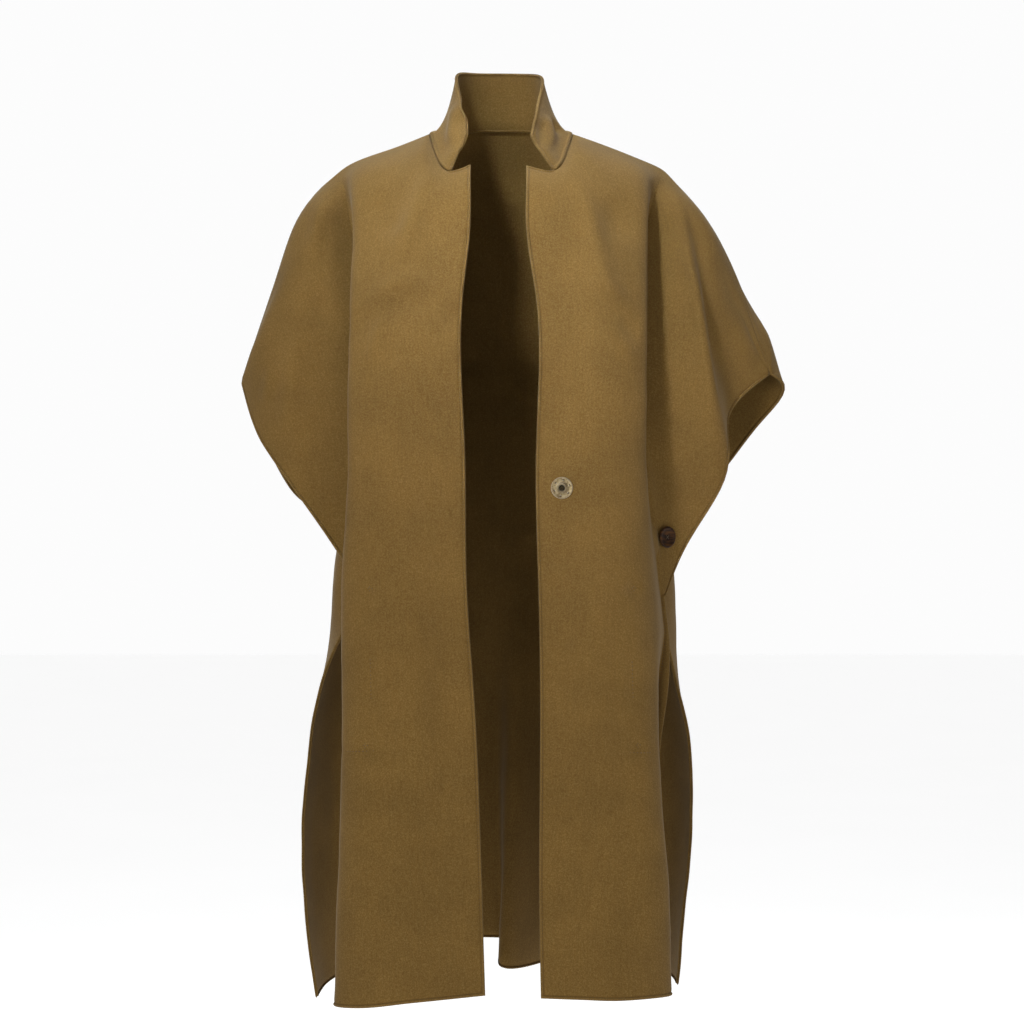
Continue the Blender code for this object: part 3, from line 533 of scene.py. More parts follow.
@dataclass(frozen=True)
class Spacing:
    """How a grid's lines are spaced: even strips, and the felled edge's own lines where an edge is raw.

    Args:
        strips: how many even strips lie between each place and the next.
        fine_starts: the stretches between places whose start has the felled edge's lines.
        fine_ends: the same for their ends.
    """

    strips: tuple[int, ...]
    fine_starts: tuple[int, ...] = ()
    fine_ends: tuple[int, ...] = ()

    def stations(self, lengths: np.ndarray, slant: float = 1.0) -> np.ndarray:
        """Where the lines run, counted in places.

        Args:
            lengths: how long each stretch is.
            slant: how much wider the felled edge's lines lie apart at the ends.

        Returns:
            The lines' stations, from the first place to the last.
        """
        found = [np.zeros(1)]
        for number, (strips, length) in enumerate(zip(self.strips, lengths)):
            start = self.fine(length, 1.0) if number in self.fine_starts else np.zeros(0)
            end = 1.0 - self.fine(length, slant)[::-1] if number in self.fine_ends else np.ones(1)
            rest = np.append(end[1:], 1.0) if number in self.fine_ends else np.zeros(0)
            even = np.linspace(start[-1] if len(start) else 0.0, end[0], strips + 1)[1:]
            found.append(number + np.concatenate([start, even, rest]))
        return np.concatenate(found)

    def fine(self, length: float, slant: float) -> np.ndarray:
        """The felled edge's lines as shares of a stretch, squeezed where it is too short for them."""
        shares = np.array(EDGE_REACHES) * slant / max(length, NOTHING)
        return shares * min(1.0, MOST_OF_STRETCH / shares[-1])

    def count(self, place: int) -> int:
        """The number of the grid line that runs through a place."""
        fine = [number for number in self.fine_starts + self.fine_ends if number < place]
        return sum(self.strips[:place]) + len(EDGE_REACHES) * len(fine)


@dataclass(frozen=True)
class Cut:
    """How a front, or half a back, is laid out.

    Args:
        lines: the names of its lines, from the middle of the coat outwards.
        across: the spacing of its columns.
        on_seam: where the seam's places lie, counted in its lines.
        table: the places of its lines at the levels and at the hems, for each side.
    """

    lines: list[str]
    across: Spacing
    on_seam: tuple[float, ...]
    table: dict[Side, list[dict[str, tuple]]]

    def at(self, line: str) -> int:
        """The number of the column that runs along a line."""
        return self.across.count(self.lines.index(line))

    def level_places(self, side: Side) -> list[list[tuple]]:
        """The places of the lines, row by row from the seam down.

        Args:
            side: the wearer's side.

        Returns:
            The rows. Those below the underarm stop at the side line.
        """
        top, table = TOP[side][0], [dict(row) for row in self.table[side]]
        lines, last = self.lines, self.lines.index("side") + 1
        if "notch" in lines:
            for row in table:
                for line, share in COLLAR_SHARES.items():
                    row[line] = between(row["edge"], row["neck"], share)
        hem = table.pop()
        rows = [[top[line] for line in lines]]
        for number, (places, height) in enumerate(zip(table, LEVELS)):
            row = [(*places[line], height)[:3] for line in lines[:last]]
            if number < len(SLEEVE_SHARES):
                share = SLEEVE_SHARES[number]
                row += [(*places[line], top[line][2] + (hem[line][2] - top[line][2]) * share)
                        for line in lines[last:-1]] + [top["tip"]]
            elif number == len(SLEEVE_SHARES):
                row += [hem[line] for line in lines[last:-1]] + [top["tip"]]
            rows.append(row)
        rows.append([hem[line] for line in lines[:last]])
        rows.insert(1, [tuple(a + (b - a) * share for a, b, share in zip(high, low, SHOULDER_SHARES))
                        for high, low in zip(rows[0], rows[1])])
        return rows

    def curves(self, side: Side) -> list[np.ndarray]:
        """The smooth curve through each row of places, read at every column.

        Args:
            side: the wearer's side.

        Returns:
            The curves' points, row by row.
        """
        last, neck, top = self.lines.index("side"), self.lines.index("neck"), TOP[side][0]
        found = []
        for number, row in enumerate(self.level_places(side)):
            stations = self.across.stations(stretches(row))
            if number == 0:
                under = stations <= neck
                on = np.interp(stations[~under], self.on_seam, np.arange(len(self.on_seam)))
                parts = (spline_points([top[line] for line in self.lines[:neck + 1]], stations[under]),
                         spline_points([top[line] for line in SEAM_LINES], on))
            elif number == SPLIT:
                on_body = stations <= last
                parts = (spline_points(row[:last + 1], stations[on_body]),
                         spline_points(row[last:], stations[~on_body] - last))
            else:
                parts = (spline_points(row, stations),)
            found.append(np.concatenate(parts))
        return found

    def grid(self, side: Side, folds: bool = False) -> "ClothGrid":
        """The fine grid of one side.

        Args:
            side: the wearer's side.
            folds: whether the back's hanging folds are in it.

        Returns:
            The grid, with its distances.
        """
        curves, body = self.curves(side), self.at("side")
        slants = self.slants(curves[SPLIT], curves[SPLIT - 1])
        points = np.full((DOWN.count(len(LEVEL_STRIPS)) + 1, len(slants), 3), np.nan)
        for column, slant in enumerate(slants):
            reach = len(curves) if column <= body else SPLIT + 1
            places = np.array([curve[column] for curve in curves[:reach]])
            line = spline_points(places, DOWN.stations(stretches(places), slant))
            points[:len(line), column] = line
        return self.measured(hanging_folds(points) if folds else points, slants)

    def slants(self, hem: np.ndarray, above: np.ndarray) -> np.ndarray:
        """How slanted each column meets a sleeve's hem.

        Args:
            hem: the curve of the underarm and the sleeve's hem.
            above: the curve above it.

        Returns:
            How much further apart the felled edge's lines lie down each column, 1 where it meets it squarely.
        """
        body, found = self.at("side"), np.ones(len(hem))
        for column in range(body + 1, len(hem) - 1):
            along, down = hem[column + 1] - hem[column - 1], hem[column] - above[column]
            size = np.linalg.norm(along) * np.linalg.norm(down)
            sine = np.linalg.norm(np.cross(along, down)) / max(size, NOT_ZERO)
            blend = float(smooth_step((column - body) / SLANT_COLUMNS))
            found[column] = 1.0 + (1.0 / max(sine, LEAST_SINE) - 1.0) * blend
        return found

    def measured(self, points: np.ndarray, slants: np.ndarray) -> "ClothGrid":
        """The grid with its distances from edges and seams.

        Args:
            points: the grid's points.
            slants: how slanted each column meets a sleeve's hem.

        Returns:
            The grid.
        """
        body, split = self.at("side"), DOWN.count(SPLIT)
        along, down = arc_lengths(points, 1), arc_lengths(points, 0)
        raw = np.full(along.shape, FAR)
        raw[:, :body + 1] = np.minimum(FAR, (down[-1] - down)[:, :body + 1])
        to_side = along[:, body:body + 1] - along[:, :body + 1]
        raw[split:, :body + 1] = np.minimum(raw[split:, :body + 1], to_side[split:])
        to_split = (down[split] - down)[:split + 1]
        corner = np.hypot(to_side[:split + 1], to_split[:, :body + 1])
        raw[:split + 1, :body + 1] = np.minimum(raw[:split + 1, :body + 1], corner)
        raw[:split + 1, body + 1:] = np.minimum(FAR, to_split[:, body + 1:] / slants[body + 1:])
        columns = np.arange(points.shape[1])
        collared = np.broadcast_to(columns < self.at("neck"), along.shape)
        seam = down.copy()
        if "notch" in self.lines:
            notch = self.at("notch")
            past = np.maximum(along - along[0, notch], 0.0)
            raw = np.minimum(raw, np.minimum(along, np.hypot(down, past)))
            seam = np.where(columns <= notch, FAR, seam)
        return ClothGrid(points, raw, seam, along, down, collared.astype(float))


DOWN = Spacing(LEVEL_STRIPS, fine_starts=(0,), fine_ends=(SPLIT - 1, len(LEVEL_STRIPS) - 1))
FRONT_CUT = Cut(FRONT_LINES, Spacing(FRONT_STRIPS, (0,), (FRONT_LINES.index("side") - 1,)), SEAM_ON_FRONT,
                FRONT_PLACES)
BACK_CUT = Cut(BACK_LINES, Spacing(BACK_STRIPS, (), (BACK_LINES.index("side") - 1,)), SEAM_ON_BACK,
               BACK_PLACES)


def between(start: tuple, end: tuple, share: float) -> tuple:
    """The place at a share of the way from one place to another."""
    return tuple(a + (b - a) * share for a, b in zip(start, end))


def hanging_folds(points: np.ndarray) -> np.ndarray:
    """Moves the cloth of the back out and in by the folds that hang in it.

    Args:
        points: the points of half the back.

    Returns:
        The points with the folds in them.
    """
    x, y, z = points[..., 0].copy(), points[..., 1].copy(), points[..., 2]
    for fold in BACK_FOLDS:
        fall = (CHEST - z) / (CHEST - HEM)
        growth = np.clip((fold.top - z) / (fold.top - HEM), 0.0, 1.0)
        off = x - (fold.chest_x + (fold.hem_x - fold.chest_x) * fall)
        half = np.where(off > 0, fold.left_half, fold.right_half)
        wave = 0.5 * (1 + np.cos(np.pi * np.clip(off / half, -1.0, 1.0)))
        out = fold.depth * growth**FOLD_GROWTH * wave
        x, y = x + fold.lean * out, y + out
    return np.stack([x, y, z], axis=2)


@dataclass
class ClothGrid:
    """A panel's cloth as rows and columns of points, with what is known at each.

    Args:
        points: the places of the cloth's outer face, none below a sleeve's hem.
        raw: how far each point is from the nearest raw edge.
        seam: how far each is from the neckline or the overarm seam.
        across: how far each is along the cloth from the panel's middle or front edge.
        down: how far each is down the cloth.
        collared: 1 where the panel's top is sewn to the collar.
    """

    points: np.ndarray
    raw: np.ndarray
    seam: np.ndarray
    across: np.ndarray
    down: np.ndarray
    collared: np.ndarray

    def joined(self, right: "ClothGrid") -> "ClothGrid":
        """This left half and a right half as one grid, from the right sleeve's tip to the left one's."""
        right.across = -right.across
        halves = zip(vars(self).values(), vars(right).values())
        return ClothGrid(*[np.concatenate([b[:, ::-1], a[:, 1:]], axis=1) for a, b in halves])

    def directions(self, outward: float) -> np.ndarray:
        """Each point's outward direction, from its neighbours in its row and its column.

        Args:
            outward: the sign that makes the directions point out.

        Returns:
            A unit vector for each point.
        """
        sides = []
        for axis in (1, 0):
            ends = []
            for step, end in ((-1, -1), (1, 0)):
                beside = np.roll(self.points, step, axis=axis)
                own = (slice(None), end) if axis else end
                beside[own] = self.points[own]
                ends.append(np.where(np.isnan(beside), self.points, beside))
            sides.append(ends[0] - ends[1])
        found = outward * np.cross(sides[0], sides[1])
        lengths = np.linalg.norm(found, axis=2, keepdims=True)
        found = found / np.maximum(lengths, NOT_ZERO)
        lost = np.nan_to_num(lengths[..., 0], nan=1.0) < NOT_ZERO
        for column in np.where(lost.sum(axis=0) > lost.shape[0] / 3)[0]:
            fill = np.nanmean(found[:8, column - 1 if column else 1], axis=0)
            found[:, column] = fill / np.linalg.norm(fill)
        return found


@dataclass
class Panel:
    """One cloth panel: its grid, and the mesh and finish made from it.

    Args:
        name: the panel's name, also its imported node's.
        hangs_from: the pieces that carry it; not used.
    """

    name: str
    hangs_from: tuple[str, ...]
    grid: ClothGrid = field(init=False)
    surface: np.ndarray = field(init=False)
    normals: np.ndarray = field(init=False)
    thickness: np.ndarray = field(init=False)

    def relief(self) -> np.ndarray:
        """How far the creases and the cloth's own unevenness lift each point.

        Returns:
            A length for each point of the grid.
        """
        points = np.nan_to_num(self.grid.points)
        flat = points.reshape(-1, 3)
        lift = sum(crease.lift(flat) for crease in CREASES[self.name]) + uneven(flat)
        for run in POCKET_TACKS.get(self.name, ()):
            lift = lift + TACK_DEPTH * np.exp(-0.5 * (from_run(flat, np.array(run))[0] / TACK_WIDTH)**2)
        lift = lift * clear_of_fastenings(flat, *CREASES_CLEAR)
        calm = smooth_step(np.minimum(self.grid.seam, self.grid.down) / CALM_BY_SEAM)
        return lift.reshape(points.shape[:2]) * calm

    def seam_lift(self) -> np.ndarray:
        """How far the seams lift each point."""
        plain, under = (np.interp(self.grid.seam, *profile) for profile in (PLAIN_SEAM, UNDER_COLLAR))
        return np.where(self.grid.collared > 0, under, plain)

    def shape(self, outward: float) -> None:
        """Puts the relief and the edges on the grid.

        Args:
            outward: the sign that makes the grid's directions point out.
        """
        felled, sewn = np.interp(self.grid.raw, *FELLED), self.seam_lift()
        edges = np.where((felled < 0) | (sewn < 0), np.minimum(felled, sewn), np.maximum(felled, sewn))
        lift = self.relief() + edges
        self.surface = self.grid.points + self.grid.directions(outward) * lift[..., None]
        self.thickness = CLOTH + 2 * edges
        self.grid.points = self.surface
        self.normals = self.grid.directions(outward)

    def felled_lines(self) -> Rows:
        """The lines of felling stitches. Each kind of panel has its own."""
        raise NotImplementedError

    def rows(self, picks: list[tuple]) -> Rows:
        """Lines of stitches, each as points and outward directions. picks are their places in the grid."""
        return [(self.surface[pick], self.normals[pick]) for pick in picks]

    def finish(self, wool: "WoolFinish", thread: "ThreadFinish") -> None:
        """Makes the panel and the stitches on it, and gives them their finishes.

        Args:
            wool: the cloth's finish.
            thread: the stitches' finish.
        """
        obj = cloth_object(f"{self.name}_cloth", self.surface, self.normals, self.grid, self.thickness)
        dress(obj, "olive_wool", self.name, wool)
        rows = self.felled_lines()
        pieces = [Stitches(f"{self.name}_felling", *FELLING_STITCH, FELLING_TURN).build(rows)]
        if self.name in POCKET_TACKS:
            tacks = Stitches(f"{self.name}_tacks", *TACK_STITCH, TACK_TURN)
            pieces.append(tacks.build(tack_rows(self)))
        for piece in pieces:
            dress(piece, "olive_wool", None, thread)
        LOG.info("%s: %d faces, %d rows of felling", self.name, len(obj.data.polygons), len(rows))


def uneven(points: np.ndarray) -> np.ndarray:
    """The cloth's own slight unevenness: slow waves that no crease accounts for."""
    return sum(height * np.array([noise.noise(Vector(point) * pace + Vector(start)) for point in points])
               for pace, height, start in WAVES)


def cloth_object(name: str, points: np.ndarray, normals: np.ndarray, grid: ClothGrid,
                 thickness: np.ndarray) -> bpy.types.Object:
    """A cloth panel from a grid of points.

    Args:
        name: the new object's name.
        points: the places of the outer face, none where there is no cloth.
        normals: the outward directions there.
        grid: the distances that the finish reads.
        thickness: the wall's thickness at each point.

    Returns:
        The object, with its thickness as a live Solidify modifier.
    """
    rows, columns = points.shape[:2]
    mesh = bmesh.new()
    uv = mesh.loops.layers.uv.new("cloth")
    raw = mesh.verts.layers.float.new("raw_edge")
    seam = mesh.verts.layers.float.new("seam")
    group = mesh.verts.layers.deform.new()
    bmesh.ops.create_grid(mesh, x_segments=columns - 1, y_segments=rows - 1, size=1.0)
    absent, places = [], {}
    thickest = float(np.nanmax(thickness))
    for vert in mesh.verts:
        place = round((vert.co.y + 1) / 2 * (rows - 1)), round((vert.co.x + 1) / 2 * (columns - 1))
        places[vert] = place
        if np.isnan(points[place][0]):
            absent.append(vert)
        else:
            vert.co = points[place]
            vert[raw], vert[seam] = grid.raw[place], grid.seam[place]
            vert[group][0] = thickness[place] / thickest
    for face in mesh.faces:
        for loop in face.loops:
            loop[uv].uv = grid.across[places[loop.vert]], -grid.down[places[loop.vert]]
    sample = rows // 3, columns // 3
    middle = next(face for face in mesh.faces if places[face.verts[0]] == sample)
    middle.normal_update()
    outward = middle.normal.dot(Vector(normals[sample]))
    bmesh.ops.delete(mesh, geom=absent, context="VERTS")
    bmesh.ops.remove_doubles(mesh, verts=mesh.verts, dist=NOTHING)
    if outward < 0:
        bmesh.ops.reverse_faces(mesh, faces=mesh.faces)
    obj = object_from(name, mesh)
    obj.vertex_groups.new(name="thickness")
    wall = obj.modifiers.new("wall", "SOLIDIFY")
    wall.thickness, wall.offset, wall.vertex_group = thickest, -1.0, "thickness"
    return obj


def object_from(name: str, mesh: bmesh.types.BMesh, sharp: float | None = None) -> bpy.types.Object:
    """A new smooth-shaded object with a bmesh's shape.

    Args:
        name: its name.
        mesh: the shape, which is freed.
        sharp: edges past this angle in degrees stay sharp.

    Returns:
        The object, in the scene.
    """
    data = bpy.data.meshes.new(name)
    mesh.to_mesh(data)
    mesh.free()
    data.shade_smooth()
    if sharp is not None:
        data.set_sharp_from_angle(angle=math.radians(sharp))
    return linked(bpy.data.objects.new(name, data))


def linked(obj: bpy.types.Object) -> bpy.types.Object:
    """The object, once it is in the scene."""
    bpy.context.scene.collection.objects.link(obj)
    return obj


def dress(obj: bpy.types.Object, slot: str, node: str | None, *finishes: "Finish") -> None:
    """Gives a piece its finishes, parents it to the body, and hides the imported node that it stands for.

    Args:
        obj: the piece.
        slot: its material slot's name; not used.
        node: the node that it stands for, if any.
        finishes: its finishes.
    """
    for finish in finishes:
        obj.data.materials.append(finish.material())
    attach(obj, BODY)
    if node:
        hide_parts(node)


@dataclass
class Front(Panel):
    """A front with the front half of its cape sleeve.

    Args:
        side: the wearer's side.
    """

    side: Side = Side.LEFT

    def __post_init__(self) -> None:
        """Makes the grid and its relief."""
        self.grid = FRONT_CUT.grid(self.side)
        self.neckline = self.grid.points[0, FRONT_CUT.at("notch"):FRONT_CUT.at("neck") + 1].copy()
        self.tuck()
        self.shape(-1.0 if self.side is Side.LEFT else 1.0)

    def tuck(self) -> None:
        """Draws the cloth in behind the crest's fold, where the photograph shows it deep in shade."""
        crest, side, under = (FRONT_CUT.at(line) for line in ("crest", "side", "under"))
        points = np.nan_to_num(self.grid.points)
        columns, fall = np.arange(points.shape[1]), -points[..., 2]
        wall = smooth_step((columns - crest) / (TUCK_OPENS * (side - crest)))
        above = wall * smooth_step((under - columns) / (under - side + TUCK_BEFORE))
        below = wall * smooth_step((side - columns) / (TUCK_CLOSES * (side - crest)))
        share = smooth_step((TUCK_BUTTONED - fall) / TUCK_FADE)
        weight = (share * above + (1 - share) * below) * clear_of_fastenings(points, *TUCK_CLEAR)
        moved = [weight * np.interp(fall, TUCK_AT, shares) * size
                 for shares, size in zip((TUCK_IN, TUCK_BACK), TUCKS[self.side])]
        self.grid.points = self.grid.points + np.stack([*moved, 0 * weight], axis=2)

    def felled_lines(self) -> Rows:
        """The lines of felling stitches.

        Returns:
            The front edge, the top as far as the collar, the hem, the slit and the sleeve's hem.
        """
        body, split, notch, g = FRONT_CUT.at("side"), DOWN.count(SPLIT), FRONT_CUT.at("notch"), GROOVE_LINE
        last = self.surface.shape[0] - 1
        return self.rows([(slice(g, last - g + 1), g), (g, slice(g, notch)),
                          (last - g, slice(g, body - g + 1)), (slice(split, last - g + 1), body - g),
                          (split - g, slice(body, -2))])


@dataclass
class Back(Panel):
    """The back with the back halves of both cape sleeves."""

    def __post_init__(self) -> None:
        """Makes the grid and its relief."""
        left, right = (BACK_CUT.grid(side, folds=True) for side in (Side.LEFT, Side.RIGHT))
        self.grid = left.joined(right)
        self.middle = left.points.shape[1] - 1
        neck = BACK_CUT.at("neck")
        self.neckline = self.grid.points[0, self.middle - neck:self.middle + neck + 1].copy()
        self.shape(1.0)

    def felled_lines(self) -> Rows:
        """The lines of felling stitches.

        Returns:
            The hem, both slits and both sleeves' hems.
        """
        body, split, g = BACK_CUT.at("side"), DOWN.count(SPLIT), GROOVE_LINE
        last, middle = self.surface.shape[0] - 1, self.middle
        return self.rows([(last - g, slice(middle - body + g, middle + body - g + 1)),
                          (slice(split, last - g + 1), middle - body + g),
                          (slice(split, last - g + 1), middle + body - g),
                          (split - g, slice(middle + body, -2)), (split - g, slice(2, middle - body + 1))])


@dataclass
class Collar(Panel):
    """The stand collar, on the neckline of the fronts and the back.

    Args:
        root: the neckline, from the right notch round the back to the left notch.
    """

    root: np.ndarray = None

    def __post_init__(self) -> None:
        """Makes the grid and its relief."""
        root = self.root + np.array([0.0, 0.0, SEAM_GAP])
        length = stretches(root).sum()
        places = Spacing((COLLAR_STRIPS_ROUND,), (0,), (0,)).stations([length]) * length
        top = spline_points(COLLAR_TOP, np.linspace(0, len(COLLAR_TOP) - 1, TOP_STEPS * len(COLLAR_TOP)))
        ribs = zip(read_along(root, places), read_along(top, places / length * stretches(top).sum()),
                   np.minimum(places, length - places))
        points = np.stack([self.rib(*rib) for rib in ribs], axis=1)
        around, down = arc_lengths(points, 1), arc_lengths(points, 0)
        raw = np.minimum(down, np.minimum(around, around[:, -1:] - around))
        self.grid = ClothGrid(points, raw, down[-1] - down, around, down, np.zeros(raw.shape))
        self.shape(1.0)

    @staticmethod
    def rib(low: np.ndarray, high: np.ndarray, from_front: float) -> np.ndarray:
        """A line of the collar from its top edge down to its root.

        Args:
            low: its place at the root.
            high: its place at the top edge.
            from_front: how far round the neck it is from the nearer front edge.

        Returns:
            The line's points.
        """
        lean = COLLAR_LEAN + (1 - COLLAR_LEAN) * math.exp(-(from_front / COLLAR_FRONT_REACH)**2)
        rises = np.linspace(1.0, 0.0, RIB_STEPS)**2
        line = low + (high - low) * np.stack([rises**lean, rises**lean, rises], axis=1)
        length = stretches(line).sum()
        return read_along(line, Spacing((COLLAR_STRIPS_UP,), (0,), (0,)).stations([length]) * length)

    def relief(self) -> np.ndarray:
        """The creases by the collar's front edges, and slight waves round it."""
        flat = self.grid.points.reshape(-1, 3)
        lift = sum(crease.lift(flat) for crease in CREASES["collar"]) * (flat[:, 1] < COLLAR_CREASED)
        lift = (lift + COLLAR_WAVES * uneven(flat)).reshape(self.grid.raw.shape)
        return lift * smooth_step(self.grid.seam / CALM_BY_FOOT)

    def seam_lift(self) -> np.ndarray:
        """The raised roll along the neck seam."""
        return np.interp(self.grid.seam, *COLLAR_FOOT)

    def felled_lines(self) -> Rows:
        """The lines of felling stitches: the top edge and both front edges."""
        g = GROOVE_LINE
        return self.rows([(g, slice(g, -g)), (slice(g, -g), g), (slice(g, -g), -1 - g)])


@dataclass
class PocketBag:
    """A bag of thin cotton against the inside of a front, made from the front's own points.

    Args:
        front: the front that carries it.
    """

    front: Front

    def finish(self, cotton: "CottonFinish") -> None:
        """Makes the bag, a little inside the front's inner face, and gives it its finish.

        Args:
            cotton: its finish.
        """
        slope, crest = FRONT_LINES.index("slope"), FRONT_LINES.index("crest")
        first = FRONT_CUT.at("slope") + round(POCKET_FROM * FRONT_STRIPS[slope])
        last = FRONT_CUT.at("crest") + round(POCKET_TO * FRONT_STRIPS[crest])
        high, low = (DOWN.count(LEVELS.index(level) + 2) for level in (UNDERARM, POCKET_END))
        part = slice(high, low + 1), slice(first, last + 1)
        depth = self.front.thickness[part][..., None] + SEAM_GAP
        grid = ClothGrid(*[values[part] for values in vars(self.front.grid).values()])
        grid.points = self.front.surface[part] - self.front.normals[part] * depth
        along, down = arc_lengths(grid.points, 1), arc_lengths(grid.points, 0)
        ends = np.minimum(along, along[:, -1:] - along)
        grid.raw = np.minimum(ends, np.minimum(down, down[-1:] - down))
        node = f"pocket_bag_{self.front.side.value}"
        obj = cloth_object(f"{node}_cotton", grid.points, self.front.normals[part], grid,
                           np.full(grid.raw.shape, POCKETING))
        dress(obj, "pocket_cotton", node, cotton)


def joined_copies(name: str, size: Size, frames: list[Matrix], round_off: int) -> bpy.types.Object:
    """One object with a small oval bead, such as a stitch, at each frame.

    Args:
        name: the object's name.
        size: the bead's length, width and height.
        frames: where the beads lie.
        round_off: how finely they are rounded.

    Returns:
        The object, in the scene.
    """
    shape = bmesh.new()
    bmesh.ops.create_icosphere(shape, subdivisions=round_off, radius=0.5)
    bmesh.ops.scale(shape, vec=size, verts=shape.verts)
    shape.verts.index_update()
    ends = np.array([(*vert.co, 1.0) for vert in shape.verts])
    faces = [[vert.index for vert in face.verts] for face in shape.faces]
    shape.free()
    places = np.concatenate([(ends @ np.array(frame).T)[:, :3] for frame in frames])
    copies = [[end + number * len(ends) for end in face] for number in range(len(frames)) for face in faces]
    data = bpy.data.meshes.new(name)
    data.from_pydata(places.tolist(), [], copies)
    data.update()
    data.shade_smooth()
    return linked(bpy.data.objects.new(name, data))


def frame_of(place: np.ndarray, ahead: Vector, up: Vector) -> Matrix:
    """A frame at a place, with X ahead and Z up. Both are unit vectors at right angles."""
    return Matrix.Translation(Vector(place)) @ Matrix((ahead, up.cross(ahead), up)).transposed().to_4x4()


@dataclass
class Stitches:
    """Rows of small hand stitches, joined in one object.

    Args:
        name: the object's name.
        length: the length of a stitch.
        width: its width.
        pitch: how far apart the stitches are.
        sunk: how far the middle of a stitch lies off the cloth, negative where it is sunk in.
        turn: how far each is turned from the row's own direction, in degrees.
    """

    name: str
    length: float
    width: float
    pitch: float
    sunk: float
    turn: float

    def build(self, rows: Rows) -> bpy.types.Object:
        """The stitches along some rows.

        Args:
            rows: the rows, each as points and outward directions.

        Returns:
            The stitches as one object.
        """
        frames = []
        for points, normals in rows:
            for at in np.arange(self.pitch / 2, stretches(points).sum(), self.pitch):
                here, ahead = read_along(points, np.array([at, at + self.pitch / 4]))
                out = read_along(points, at, normals)
                if np.linalg.norm(ahead - here) > NOTHING / 10:
                    up = Vector(out).normalized()
                    way = Vector(ahead - here) - up * Vector(ahead - here).dot(up)
                    way = Matrix.Rotation(math.radians(self.turn), 3, up) @ way.normalized()
                    frames.append(frame_of(here + out * self.sunk, way, up))
        return joined_copies(self.name, (self.length, self.width, self.width * 0.7), frames, 1)


@dataclass
class Seat:
    """Where a fastening sits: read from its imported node.

    Args:
        node: the node's name.
        facing: roughly which way it faces.
    """

    node: str
    facing: Size
    place: np.ndarray = field(init=False)
    outward: np.ndarray = field(init=False)

    def read(self, obj: bpy.types.Object) -> None:
        """Finds the middle of the node's sewn side and the way it faces.

        Args:
            obj: the node's object.
        """
        points = np.unique(np.round([vert.co[:] for vert in obj.data.vertices], 6), axis=0)
        middle = points.mean(axis=0)
        axis = np.linalg.svd(points - middle, full_matrices=False)[2][2]
        self.outward = axis * np.sign(axis @ np.array(self.facing))
        self.place = middle + self.outward * ((points - middle) @ self.outward).min()

    def frame(self) -> Matrix:
        """The seat's frame: Z outwards, Y as near to up as it can be."""
        up = Vector(self.outward)
        return frame_of(self.place, Vector((0.0, 0.0, 1.0)).cross(up).normalized(), up)


def turned(profile: tuple[tuple[float, float], ...], steps: int = 72) -> bmesh.types.BMesh:
    """A solid turned about Z.

    Args:
        profile: its (radius, height) corners, from the axis back to the axis.
        steps: how many flats go round it.

    Returns:
        The solid.
    """
    mesh = bmesh.new()
    verts = [mesh.verts.new((radius, 0.0, height)) for radius, height in profile]
    edges = [mesh.edges.new(pair) for pair in zip(verts, verts[1:])]
    bmesh.ops.spin(mesh, geom=verts + edges, axis=(0, 0, 1), cent=(0, 0, 0), steps=steps,
                   angle=2 * math.pi, use_merge=True)
    bmesh.ops.remove_doubles(mesh, verts=mesh.verts, dist=NOTHING)
    bmesh.ops.recalc_face_normals(mesh, faces=mesh.faces)
    return mesh


def with_holes(obj: bpy.types.Object, holes: list[Matrix], size: Size) -> None:
    """Cuts oval holes through a piece.

    Args:
        obj: the piece.
        holes: each hole's frame.
        size: a hole's length and width, and how deep it is from one end to the other.
    """
    cutter = bmesh.new()
    for frame in holes:
        bmesh.ops.create_cone(cutter, cap_ends=True, segments=HOLE_STEPS, radius1=0.5, radius2=0.5, depth=1.0,
                              matrix=frame @ Matrix.Diagonal((*size, 1.0)))
    cut = obj.modifiers.new("holes", "BOOLEAN")
    cut.operation, cut.solver, cut.object = "DIFFERENCE", "EXACT", object_from("cutter", cutter)
    tool = cut.object
    bpy.context.view_layer.update()
    data = bpy.data.meshes.new_from_object(obj.evaluated_get(bpy.context.evaluated_depsgraph_get()))
    obj.modifiers.clear()
    obj.data = data
    bpy.data.objects.remove(tool)
    data.set_sharp_from_angle(angle=math.radians(HOLE_SHARP))


# A hole has this many flats round it, and a cut piece's edges past this angle in degrees stay sharp
HOLE_STEPS, HOLE_SHARP = 16, 35

# The sewing holes' length, width and depth, and a strand of thread's length, width and height
SNAP_HOLE, SNAP_STRAND = metres(((3.1, 1.9, 8), (2.7, 1.3, 1.1)))
BUTTON_HOLE, BUTTON_STRAND = metres(((1.6, 1.6, 4.4), (6.2, 0.9, 1.2)))
SNAP_HOLE_RADIUS = 0.0092                   # how far from the snap's middle its holes lie
SNAP_STRAND_OFF = (0, 0.0003, 0.0005)       # how far a strand lies from the middle of its hole
SNAP_RECESS, SNAP_RIM = 0.0034, 0.0030      # what lies within this radius and below this height is painted near-black as the recess's shade
FIRST_HOLES = {SnapHalf.SOCKET: 20.0, SnapHalf.BALL: 35.0}    # how far round the first lies, in degrees

# How far each way from the button's middle its holes lie, and how high the middles of holes and strands are
BUTTON_HOLE_OFF, BUTTON_HOLE_HEIGHT, BUTTON_STRAND_HEIGHT = metres((1.9, 3.5, 4.7))

# Roughly which way each fastening faces
FACINGS = {"snap_socket": (0, -1, 0), "snap_ball": (0, 1, 0),
           "side_button_left": (0.6, -0.8, 0), "side_button_right": (-0.1, -1, 0)}

